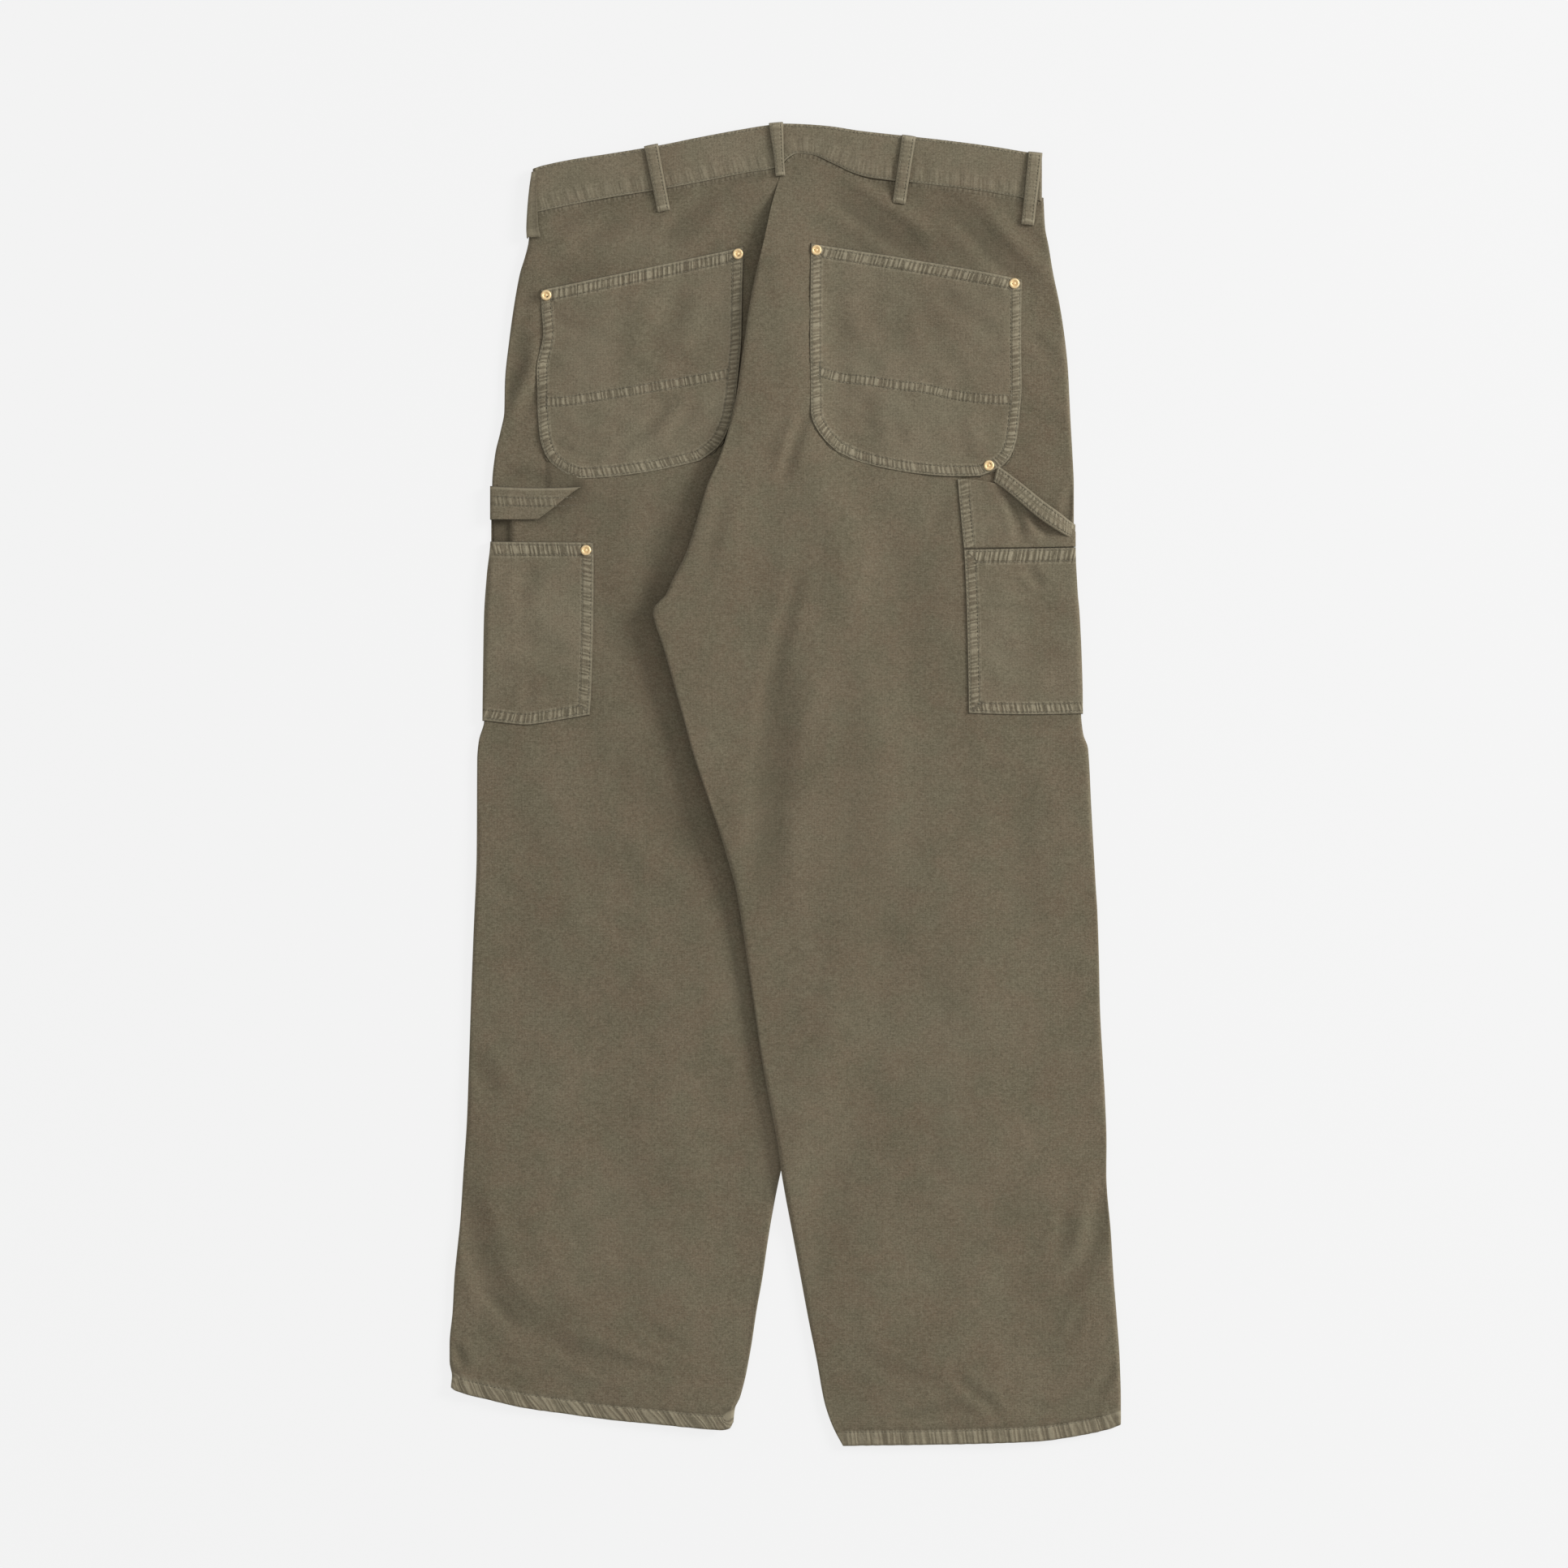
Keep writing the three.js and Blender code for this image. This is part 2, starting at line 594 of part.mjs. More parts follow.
function sideLoop() {
  const overBand = BAND_TOP + SEAM_GAP;
  const outer = SIDE_LOOP.map(({ y, foldX, backX }) => [
    new THREE.Vector3(foldX, y, SEAM_GAP),
    new THREE.Vector3(foldX, y, overBand),
    new THREE.Vector3(backX, y, overBand + PATCH_CLOTH),
  ]);
  const inner = SIDE_LOOP.map(({ y, foldX, backX }) => [
    new THREE.Vector3(foldX + SIDE_LOOP_WALL, y, SEAM_GAP),
    new THREE.Vector3(foldX + SIDE_LOOP_WALL, y, BAND_TOP),
    new THREE.Vector3(backX, y, overBand),
  ]);
  return clothWall(outer, inner);
}

// The shield behind the front opening, flat on the inside of the left front.
const SHIELD = [
  { leftX: -62, leftY: 455, rightX: -34, rightY: 455 },
  { leftX: -62, leftY: 340, rightX: -30, rightY: 340 },
  { leftX: -50, leftY: 300, rightX: -30, rightY: 300 },
];
const SHIELD_CLOTH = 1;

function flyShield() {
  const plan = SHIELD.map((section) => sectionPoints(section, 3));
  const lay = (z) => plan.map((row) => row.map(([x, y]) => new THREE.Vector3(x, y, z)));
  const under = FRONT_TOP + SEAM_GAP;
  return clothWall(lay(under + SHIELD_CLOTH), lay(under));
}

// A turned metal part from its profile of radius and height.
function turned(profile, segments) {
  const points = profile.map(({ radius, height }) => new THREE.Vector2(radius, height));
  return new THREE.LatheGeometry(points, segments).rotateX(Math.PI / 2);
}

// A rivet cap: a flat rim round a sunk ring, with a small peak in the middle.
const RIVET_PROFILE = [
  { radius: 0, height: 0 },
  { radius: RIVET_RADIUS, height: 0 },
  { radius: RIVET_RADIUS, height: 0.5 },
  { radius: 0.85 * RIVET_RADIUS, height: 0.9 },
  { radius: 0.65 * RIVET_RADIUS, height: 0.9 },
  { radius: 0.5 * RIVET_RADIUS, height: 0.5 },
  { radius: 0.3 * RIVET_RADIUS, height: 0.6 },
  { radius: 0, height: 1.1 },
];
const RIVET_SIDES = 12;

function rivet(x, y, z) {
  return turned(RIVET_PROFILE, RIVET_SIDES).translate(x, y, z);
}

const RIVETS = [
  { name: "rivet_left_pocket_outer", x: -196.3, y: 402, half: leftHalf },
  { name: "rivet_left_pocket_inner", x: -38.8, y: 436, half: leftHalf },
  { name: "rivet_right_pocket_inner", x: 25.6, y: 438.7, half: rightHalf },
  { name: "rivet_right_pocket_outer", x: 188.3, y: 412, half: rightHalf },
  { name: "rivet_right_pocket_corner", x: 167.3, y: 262.3, half: rightHalf },
  { name: "rivet_left_tool_pocket", x: -163.7, y: 192.7, half: leftHalf },
];

// The button lies under the front of the waistband, in the middle of its depth.
const BUTTON_X = -12;
const BUTTON_DROP = 18;
const BUTTON_HEIGHT = BAND_FRONT_UNDER - SEAM_GAP;
const BUTTON_PROFILE = [
  { radius: 0, height: 0 },
  { radius: BUTTON_RADIUS, height: 0 },
  { radius: BUTTON_RADIUS, height: 0.7 },
  { radius: 0.8 * BUTTON_RADIUS, height: BUTTON_HEIGHT },
  { radius: 0, height: BUTTON_HEIGHT },
];
const BUTTON_SIDES = 20;

function waistButton() {
  const y = readTable(FRONT_WAIST_TOP, "x", BUTTON_X, "y") - BUTTON_DROP;
  return turned(BUTTON_PROFILE, BUTTON_SIDES).translate(BUTTON_X, y, 0);
}

const trousers = new THREE.Group();

function addPiece(name, geometry, material) {
  const mesh = new THREE.Mesh(geometry, material);
  mesh.name = name;
  trousers.add(mesh);
}

addPiece("front_left", frontPanel(leftHalf), canvas);
addPiece("front_right", frontPanel(rightHalf), canvas);
addPiece("back_left", backPanel(leftHalf), canvas);
addPiece("back_right", backPanel(rightHalf), canvas);
addPiece("waistband", waistband(), canvas);
addPiece("fly_shield", flyShield(), canvas);
addPiece("back_pocket_left", backPocket(leftHalf, LEFT_POCKET), canvas);
addPiece("back_pocket_right", backPocket(rightHalf, RIGHT_POCKET), canvas);
addPiece("tool_pocket_left", edgePiece(leftHalf, LEFT_TOOL_POCKET), canvas);
addPiece("tool_pocket_right", edgePiece(rightHalf, RIGHT_TOOL_POCKET), canvas);
addPiece("side_panel_right", edgePiece(rightHalf, SIDE_PANEL), canvas);
addPiece("hammer_loop_left", edgePiece(leftHalf, LEFT_STRAP), canvas);
addPiece("hammer_loop_right", rightStrap(), canvas);
addPiece("belt_loop_side_left", sideLoop(), canvas);
for (const loop of BELT_LOOPS) addPiece(loop.name, beltLoop(loop), canvas);
for (const spot of RIVETS) {
  const z = backTop(spot.half, spot.x, spot.y) + PATCH_CLOTH + 2 * SEAM_GAP;
  addPiece(spot.name, rivet(spot.x, spot.y, z), brass);
}
addPiece("waist_button", waistButton(), brass);

export default trousers;
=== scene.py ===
import math

import bpy
import numpy as np
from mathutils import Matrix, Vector, kdtree


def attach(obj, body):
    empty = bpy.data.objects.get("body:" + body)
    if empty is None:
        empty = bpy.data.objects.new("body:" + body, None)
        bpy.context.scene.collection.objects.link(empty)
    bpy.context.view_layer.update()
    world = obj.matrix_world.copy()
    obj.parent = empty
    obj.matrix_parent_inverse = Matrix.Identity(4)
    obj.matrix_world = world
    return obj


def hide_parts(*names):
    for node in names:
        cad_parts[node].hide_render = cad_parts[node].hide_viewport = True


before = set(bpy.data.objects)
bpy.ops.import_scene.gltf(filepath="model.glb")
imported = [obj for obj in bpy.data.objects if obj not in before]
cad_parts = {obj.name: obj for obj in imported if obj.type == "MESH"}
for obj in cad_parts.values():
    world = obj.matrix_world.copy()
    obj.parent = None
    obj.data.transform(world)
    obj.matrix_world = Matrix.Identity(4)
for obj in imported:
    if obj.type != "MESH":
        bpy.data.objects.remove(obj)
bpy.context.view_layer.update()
rng = np.random.default_rng(11)

# Sizes are in millimetres until a mesh is made. +X is the wearer's right, +Y runs to the waist.
MM = 0.001

# Cloth: how thick it is, and how it turns down at the edges of a leg
CLOTH = 1.3
PATCH = 1.1
BAND_CLOTH = 2.0
GAP = 0.3
PLATEAU = 5.0
EDGE_HEIGHT = 3.0
LIP_END = 0.4
ROLL = 3.2
SEAT_ROLL = 14.0
TUCK = 3.5
LOWEST = 0.2

# How far the right leg rises over the left one, and its inner fold over that
LIFT = 6.95
LIFT_RAMP = 54.0
SPRING = 6.5
SPRING_RAMP = 75.0

# Waistband, belt loops and hem
BAND_TOP = 6.4
BAND_FLOOR = 1.6
BAND_DEPTH = 36.0
BAND_JOINS = (-147, -117.5, 60, 152)
BAND_LEFT = -207.5
BAND_RIGHT = 211.0
LOOP_WIDTH = 11.7
HEM_DEPTH = 12.4
HEM_EXTRA = 0.8
HEM_SEWING = HEM_DEPTH - 1.2
FRONT_INSET = 1.7

# Sewing: distances of the two rows from a patch's mouth and from its sides, and the gap between two
# rows that cross a pocket. A row sinks in by the dent, and puckers stand up between two rows.
MOUTH_ROWS = (2.7, 10.0)
SIDE_ROWS = (2.0, 8.7)
CROSS_GAP = 7.0
STRAP_ROW = 2.4
ROW_DENT = 0.20
PUCKER_HEIGHT = 0.30
PUCKER_LEAN = 0.2

# How strongly the cloth is worn pale or darkened with painted shade: painted shade in troughs for each
# millimetre, wear on the crest inside a patch's border, painted shade on the border's turned edge, wear
# and painted shade on the hem, and painted shade under the waistband
TROUGH_SHADE = 0.11
TROUGH_DEEPEST = 2.2
CREST_WEAR = 0.70
EDGE_SHADE = 0.95
HEM_WEAR = 0.30
HEM_SHADE = 0.42
BAND_SHADE = 0.22

# Sizes that only set how fine the grids are
LEG_LENGTH = 1030
LEG_WIDTH = 300
LEG_STEP = (3.4, 3.5)
FRONT_STEP = (9, 9)
BAND_COLUMNS = (27, 262)
BEND_STEPS = 9
EDGE_STEPS = np.array([0, 0.25, 0.8, 1.7, 2.9, 4.4, 6.3, 8.6, 11.2])
FINE_EDGE = np.array([0, 0.35, 0.9])
FIRST_STEP = 1.8
PATCH_STEP = 1.9
STRAP_STEP = 1.8


def table_of(columns, *rows):
    """A table as a list with one dictionary for each row."""
    return [dict(zip(columns.split(), row)) for row in rows]


def crease(width, depth, *line):
    """A trough with soft shoulders along a line, or with a negative depth a ridge."""
    return {"line": line, "width": width, "depth": depth}


# The side edges of both halves from the waist down, and the lines that end them
LEFT_SECTIONS = table_of(
    "y outer inner",
    (506, -207.5, -2.6), (470, -209.5, -12.6), (447, -211, -12.5), (434, -214, -12.5),
    (421, -218, -12), (397, -222.5, -9), (365, -227, -4), (331, -230.5, -1), (307, -231, 1),
    (289, -234.5, 4), (272, -238.5, 10), (246, -241, 18), (211, -241, 33), (201, -241, 36),
    (173, -243.8, 45), (137, -246.2, 54), (75, -247.2, 60), (53, -247.5, 61), (36, -252, 61),
    (21, -253.3, 60), (-55, -253.7, 52), (-122, -256.3, 42), (-175, -258.3, 33), (-242, -260.5, 18),
    (-275, -261.7, 9), (-318, -264.6, -3.6), (-358, -267.2, -11.5), (-383, -269.8, -15.5),
    (-405, -272, -18.7), (-433, -273.5, -23.7), (-460, -276, -27.7), (-474, -276, -30.2),
    (-486, -274, -32.5), (-496, -274.8, -35), (-504, -273.5, -37.3), (-513, -272.5, -41.4),
    (-530, -272, -43),
)
RIGHT_SECTIONS = table_of(
    "y inner outer",
    (519, 2, 211), (491, -7, 212), (477, -11, 212.6), (458, -15, 213.7), (444, -18, 216.4),
    (421, -23.7, 220.2), (395, -29, 225.6), (366, -33.2, 230), (340, -37, 232.6),
    (318, -40.3, 233.7), (301, -44, 234.5), (271, -53, 236.2), (246, -63.7, 237.3),
    (223, -70.7, 237.3), (202, -77, 237.3), (186, -83, 237.5), (168, -92.3, 238.4),
    (155, -98.3, 239.2), (147, -106.3, 240), (141, -108.3, 240.5), (132, -106.3, 241),
    (111, -99.3, 242), (79, -90.3, 243), (58, -84.3, 243.3), (42, -80, 245), (30, -76.7, 249),
    (-17, -61.2, 251.6), (-39, -53.7, 252.8), (-65, -46, 254.3), (-83, -41, 255.3),
    (-105, -37, 256.7), (-145, -31, 258), (-183, -25.4, 258.8), (-229, -18.6, 261.3),
    (-259, -13.1, 263), (-295, -6.3, 264.2), (-319, -3, 264), (-369, 6, 267.8), (-405, 12.7, 270),
    (-440, 19.2, 272.8), (-472, 25.7, 275), (-507, 32.1, 276), (-522, 36.8, 276),
    (-530, 40.2, 275.5), (-543.5, 47.5, 274.5),
)
WAIST_TOP = table_of(
    "x y",
    (-207.5, 506), (-201, 508.3), (-174, 514), (-146, 518.3), (-104, 525.3), (-71, 532),
    (-35, 538.7), (-14, 542), (-1, 543.3), (13, 542.9), (35, 541.3), (62, 537.3), (96, 533.5),
    (134, 529.3), (169, 524.7), (202, 519.3), (211, 518),
)
WAIST_SEAM = table_of(
    "x y",
    (-209.5, 469), (-156, 480.2), (-94, 490.5), (-35, 501.8), (-3, 508), (1, 513.5), (10, 518.5),
    (20, 518), (40, 510), (56, 502.5), (71, 498.4), (106, 494.4), (142, 490), (178, 484.7),
    (212.5, 478.7),
)
FRONT_WAIST_TOP = table_of(
    "x y",
    (-207.5, 506), (-120, 503), (0, 499), (120, 510), (211, 518),
)
FRONT_WAIST_SEAM = table_of(
    "x y",
    (-209.5, 469), (-192, 475), (-120, 471), (0, 466), (120, 478), (190, 484), (212.5, 478.7),
)
LEFT_HEM = table_of(
    "x y",
    (-275, -495), (-270, -498), (-240, -506), (-214, -512), (-178, -517.3), (-142, -522),
    (-106, -525.3), (-71, -528.7), (-51, -530), (-45.5, -528.5), (-42.8, -524),
)
RIGHT_HEM = table_of(
    "x y",
    (47.5, -543.3), (79, -542.7), (132, -542), (176, -540.7), (209, -539.3), (242, -534.7),
    (264, -530), (276, -525.8),
)

# Shares of the lift, the spring and the flat seat seam along the right leg
LIFT_ALONG = table_of(
    "y share",
    (512, 0), (480, 0.25), (427, 1), (-325, 1), (-385, 0),
)
SPRING_ALONG = table_of(
    "y share",
    (500, 0), (470, 0.5), (380, 0.5), (320, 0.25), (240, 0.8), (140, 1), (-30, 0.9), (-130, 0.35),
    (-190, 0.1), (-260, 0),
)
SEAT_FLAT = table_of(
    "y share",
    (425, 0), (458, 1),
)

# Broad soft ridges, which the plain solids have too
SOFT_RIDGES = table_of(
    "line half_width rise",
    ([(20, 235), (30, -70)], 32, 0.5), ([(140, 10), (155, -290)], 48, 1.0),
    ([(-185, -20), (-175, -300)], 44, 1.0), ([(-70, -60), (-95, -420)], 40, 0.9),
    ([(205, -330), (120, -470)], 30, 1.1), ([(-235, -330), (-160, -450)], 30, 1.1),
)

# Creases of the legs
LEFT_CREASES = [
    crease(6, -2.4, (-231, 296), (-222, 314), (-208, 340), (-203, 362)),
    crease(7, 1.8, (-236, 306), (-227, 330), (-221, 352), (-222, 384)),
    crease(6, 1.3, (-203, 452), (-180, 462), (-150, 474), (-118, 480)),
    crease(7, 1.6, (-185, 436), (-160, 446), (-138, 462), (-122, 470)),
    crease(11, 1.8, (-206, 428), (-188, 420), (-165, 424), (-140, 430)),
    crease(6, 1.0, (-222, 352), (-216, 364), (-210, 372)),
    crease(8, 2.4, (-103, 440), (-92, 452), (-76, 468), (-54, 486)),
    crease(4, 1.2, (-60, 492), (-38, 496), (-12, 502)),
    crease(7, 1.0, (-222, 392), (-212, 400), (-204, 404)),
    crease(6, 1.6, (-238, 256), (-222, 254), (-206, 252), (-192, 248)),
    crease(4, 1.0, (-160, 236), (-176, 232), (-196, 218)),
    crease(10, 1.9, (-266, -318), (-255, -370), (-243, -412), (-222, -438), (-192, -456)),
    crease(7, 1.2, (-214, -444), (-180, -464), (-148, -474), (-104, -484)),
    crease(10, -0.5, (-256, -300), (-238, -360), (-215, -412), (-180, -440)),
    crease(4, 1.1, (-251, -412), (-233, -430), (-221, -446)),
    crease(4, 1.4, (-274, -457), (-267, -469), (-263, -482)),
    crease(8, 1.2, (-258, -219), (-247, -240), (-235, -262)),
    crease(3, 0.7, (-185, -472), (-160, -480), (-120, -494)),
    crease(3, 0.6, (-160, -462), (-130, -474), (-85, -488)),
    crease(3, 0.6, (-250, -468), (-220, -476), (-196, -484)),
    crease(5, 0.6, (-118, -440), (-98, -458), (-66, -466)),
    crease(18, 1.2, (-150, 40), (-110, -20), (-60, -60)),
    crease(16, 0.8, (-240, -30), (-190, -60), (-130, -70)),
    crease(14, 1.2, (-90, 240), (-110, 190), (-105, 120)),
]
RIGHT_CREASES = [
    crease(4.5, 1.5, (22, 314), (12, 290), (3, 264), (-4, 240)),
    crease(5, -0.8, (10, 308), (0, 284), (-10, 256)),
    crease(6, 1.1, (-40, 256), (-54, 218), (-63, 182), (-66, 160)),
    crease(6, 1.5, (16, 198), (5, 148), (-5, 112), (-12, 80), (-16, 30)),
    crease(13, 2.5, (2, 140), (-8, 60), (-14, -20), (-18, -120)),
    crease(16, 0.9, (36, 240), (26, 190), (22, 130)),
    crease(20, 1.0, (96, 210), (84, 140), (92, 60)),
    crease(4, 0.6, (60, 190), (55, 172), (51, 160)),
    crease(3, -0.8, (28, 12), (22, 2), (14, -6)),
    crease(16, 0.5, (42, 10), (60, -60), (95, -169)),
    crease(9, -1.6, (30, 504), (54, 492), (84, 474), (118, 450), (138, 434)),
    crease(9, 2.4, (24, 494), (46, 484), (72, 466), (100, 446), (124, 430)),
    crease(8, -1.2, (150, 478), (172, 458), (196, 436), (220, 412), (228, 394)),
    crease(9, 2.2, (104, 486), (140, 474), (160, 454), (182, 428), (212, 400)),
    crease(5, 0.8, (196, 372), (208, 364), (224, 346)),
    crease(6, 0.6, (198, 300), (214, 298), (232, 300)),
    crease(4.5, 1.5, (78, -523), (112, -518), (138, -512), (160, -509)),
    crease(3.5, 1.2, (128, -526), (143, -518), (158, -511)),
    crease(4.5, 1.0, (132, -480), (152, -497), (168, -508), (182, -528)),
    crease(7, 0.8, (60, -470), (96, -486), (134, -492)),
    crease(4, 0.7, (190, -508), (214, -512), (236, -506)),
    crease(4, 1.4, (274, -472), (262, -493), (251, -506)),
    crease(4, 1.0, (232, -457), (240, -437), (249, -422)),
    crease(8, 2.0, (268, -320), (261, -350), (253, -386), (234, -414), (214, -440)),
    crease(7, 1.3, (236, -350), (230, -368), (222, -396)),
    crease(7, -0.5, (254, -300), (246, -340), (236, -380)),
    crease(18, 0.5, (120, -80), (128, -150), (120, -230)),
    crease(20, 1.2, (30, -300), (40, -350), (34, -410)),
    crease(16, 0.9, (200, 20), (190, -60), (205, -150)),
    crease(5, 1.0, (184, 46), (204, 50), (226, 50)),
    crease(8, 0.8, (136, 240), (128, 225), (120, 200)),
    crease(4.5, 2.0, (238, 248), (234, 232), (230, 212)),
]

# Places darkened with painted shade, or with a negative share lightened with painted light
LEFT_TONES = table_of(
    "x y across along darker",
    (-120, 130, 60, 130, 0.09), (-160, 230, 22, 16, 0.16), (-232, -438, 18, 20, 0.17),
    (-212, -490, 26, 14, 0.14), (-130, -370, 36, 60, -0.07), (-8, -300, 14, 45, -0.16),
    (-40, -165, 14, 40, -0.14), (-120, 445, 40, 16, -0.10),
)
RIGHT_TONES = table_of(
    "x y across along darker",
    (66, -70, 36, 190, 0.20), (-22, -20, 24, 120, 0.16), (-66, 190, 22, 42, 0.18),
    (-66, 90, 22, 60, 0.12), (10, 400, 26, 80, 0.10), (66, 452, 34, 20, 0.20),
    (140, 442, 60, 26, 0.22), (130, -230, 22, 110, -0.10), (158, -350, 26, 40, -0.08),
    (34, -285, 20, 30, 0.12), (20, -400, 10, 40, -0.12), (60, -515, 50, 10, -0.09),
    (250, -495, 20, 26, 0.10),
)
POCKET_TONES = table_of(
    "x y across along darker",
    (75, 350, 40, 34, -0.08), (146, 398, 40, 26, 0.20), (168, 350, 16, 26, 0.12),
    (-164, 350, 24, 40, -0.13), (-46, 350, 10, 60, -0.10),
)

# Each cloth piece: its solid, the width and length of its cut and the most that it covers, in metres,
# and what it lies on
CUTS = table_of(
    "piece node flat most rests_on",
    ("left_back", "back_left", (0.34, 1.07), 0.36, ["front_left"]),
    ("right_back", "back_right", (0.40, 1.10), 0.43, ["left_back", "front_right"]),
    ("left_front", "front_left", (0.34, 1.03), 0.34, ["floor"]),
    ("right_front", "front_right", (0.40, 1.06), 0.41, ["floor"]),
    ("waist_strip", "waistband", (0.86, 0.045), 0.0387, ["right_back", "left_back"]),
    ("left_back_pocket", "back_pocket_left", (0.176, 0.19), 0.0334, ["left_back"]),
    ("right_back_pocket", "back_pocket_right", (0.178, 0.19), 0.0338, ["right_back"]),
    ("left_tool_pocket", "tool_pocket_left", (0.105, 0.157), 0.0164, ["left_back"]),
    ("right_tool_pocket", "tool_pocket_right", (0.105, 0.145), 0.0152, ["right_back"]),
    ("right_side_panel", "side_panel_right", (0.105, 0.060), 0.0063, ["right_back"]),
    ("left_hammer_loop", "hammer_loop_left", (0.078, 0.030), 0.0023, ["left_back"]),
    ("right_hammer_loop", "hammer_loop_right", (0.018, 0.080), 0.00144, ["right_side_panel"]),
    ("loop_back_left", "belt_loop_back_left", (0.0135, 0.058), 0.000783, ["waist_strip"]),
    ("loop_centre", "belt_loop_centre", (0.0135, 0.058), 0.000783, ["waist_strip"]),
    ("loop_back_right", "belt_loop_back_right", (0.0135, 0.058), 0.000783, ["waist_strip"]),
    ("loop_side_right", "belt_loop_side_right", (0.0135, 0.058), 0.000783, ["waist_strip"]),
    ("loop_side_left", "belt_loop_side_left", (0.0175, 0.056), 0.00098, ["waist_strip"]),
    ("opening_shield", "fly_shield", (0.033, 0.157), 0.00518, ["left_front"]),
)


# Curves and lines
def smooth_reader(rows, key, column):
    """Reads a table's column smoothly, with no overshoot between its rows."""
    order = sorted(rows, key=lambda row: row[key])
    x = np.array([row[key] for row in order], float)
    y = np.array([row[column] for row in order], float)
    step = np.diff(x)
    slope = np.diff(y) / step
    tangent = np.zeros_like(y)
    product = slope[1:] * slope[:-1]
    total = np.where(product > 0, slope[1:] + slope[:-1], 1)
    tangent[1:-1] = np.where(product > 0, 2 * product / total, 0)
    tangent[0], tangent[-1] = slope[0], slope[-1]

    def read(at):
        at = np.clip(np.asarray(at, float), x[0], x[-1])
        i = np.clip(np.searchsorted(x, at) - 1, 0, len(x) - 2)
        t = (at - x[i]) / step[i]
        start = (1 + 2 * t) * (1 - t) ** 2 * y[i] + t * (1 - t) ** 2 * step[i] * tangent[i]
        end = t * t * (3 - 2 * t) * y[i + 1] + t * t * (t - 1) * step[i] * tangent[i + 1]
        return start + end

    return read


def read_share(rows, y):
    order = sorted(rows, key=lambda row: row["y"])
    line = np.interp(y, [row["y"] for row in order], [row["share"] for row in order])
    return smoothstep(line)


def smoothstep(t):
    t = np.clip(t, 0, 1)
    return t * t * (3 - 2 * t)


def bell(away, width):
    """1 in the middle, less than a half one width away from it, and soon 0."""
    return np.exp(-((away / width) ** 2))


def along_line(points, x, y):
    """Each point's distance from a line of straight pieces, its place along it, and the line's length."""
    x, y = np.asarray(x, float), np.asarray(y, float)
    best = np.full(x.shape, 1e9)
    run = np.zeros(x.shape)
    passed = 0.0
    for (ax, ay), (bx, by) in zip(points[:-1], points[1:]):
        dx, dy = bx - ax, by - ay
        length = math.hypot(dx, dy)
        if length < 1e-6:
            continue
        t = np.clip(((x - ax) * dx + (y - ay) * dy) / length**2, 0, 1)
        away = np.hypot(x - ax - t * dx, y - ay - t * dy)
        closer = away < best
        best = np.where(closer, away, best)
        run = np.where(closer, passed + t * length, run)
        passed += length
    return best, run, passed


def round_line(points, passes=2):
    """The line with its corners cut, so that it bends softly."""
    points = [np.array(p, float) for p in points]
    for _ in range(passes):
        cut = [points[0]]
        for a, b in zip(points[:-1], points[1:]):
            cut += [0.75 * a + 0.25 * b, 0.25 * a + 0.75 * b]
        cut.append(points[-1])
        points = cut
    return [tuple(p) for p in points]


def thin(line, step=4):
    """Every fourth point of a line, and its last one."""
    kept = line[::step]
    return kept if kept[-1] == line[-1] else kept + [line[-1]]


def offset_line(line, distance):
    """A line moved to its left by a distance, with its loops at tight corners left as they are."""
    points = np.array(line, float)
    direction = np.gradient(points, axis=0)
    length = np.maximum(np.hypot(direction[:, 0], direction[:, 1]), 1e-9)
    normal = np.stack([-direction[:, 1], direction[:, 0]], 1) / length[:, None]
    return points + normal * distance


# Heights and shades of the lying cloth
def crease_height(creases, x, y):
    """Height of all the creases, which fade out towards their ends."""
    total = np.zeros(np.shape(x))
    for fold in creases:
        away, run, length = along_line(round_line(fold["line"]), x, y)
        t = away / fold["width"]
        share = np.clip(run / length, 0, 1)
        taper = smoothstep(3.2 * share) * smoothstep(3.2 * (1 - share))
        shoulders = 0.42 * np.exp(-((t - 1.9) ** 2) * 1.6)
        total -= fold["depth"] * taper * (np.exp(-t * t) - shoulders)
    return total


def crease_shade(creases, x, y):
    """How much painted shade darkens the cloth in the troughs."""
    return TROUGH_SHADE * np.clip(-crease_height(creases, x, y), 0, TROUGH_DEEPEST)


def ridge_height(x, y):
    total = np.zeros(np.shape(x))
    for ridge in SOFT_RIDGES:
        away, _, _ = along_line(ridge["line"], x, y)
        t = np.clip(away / ridge["half_width"], 0, 1)
        total += ridge["rise"] * (1 - t * t) ** 2
    return total


def make_waves(count, low, high, lean):
    """Seeded plane waves, whose sum is an uneven, gently rolling surface."""
    waves = []
    for _ in range(count):
        length = rng.uniform(low, high)
        angle = rng.normal(lean, 0.55)
        waves.append((2 * np.pi / length, angle, rng.uniform(0, 2 * np.pi), length / high))
    return waves


def wave_height(waves, x, y):
    total = np.zeros(np.shape(x))
    for number, angle, phase, size in waves:
        total += size * np.sin(number * (x * math.cos(angle) + y * math.sin(angle)) + phase)
    return total / math.sqrt(len(waves))


BROAD_WAVES = make_waves(16, 70, 190, 0.15)
FINE_WAVES = make_waves(22, 16, 46, 0.9)


def uneven(x, y, broad=1.15, fine=0.20):
    """The cloth's own unevenness, from broad waves and fine ones."""
    return broad * wave_height(BROAD_WAVES, x, y) + fine * wave_height(FINE_WAVES, x, y)


def add_tones(marks, tones, x, y):
    """Darkens the cloth with painted shade, or pales it with painted light, softly around each place of a
    table.
    """
    darker = np.zeros(x.shape)
    for tone in tones:
        away = ((x - tone["x"]) / tone["across"]) ** 2 + ((y - tone["y"]) / tone["along"]) ** 2
        darker += tone["darker"] * np.exp(-away)
    marks["shade"] = marks["shade"] + np.clip(darker, 0, 1)
    marks["wear_and_painted_light"] = marks["wear_and_painted_light"] + np.clip(-darker, 0, 1)


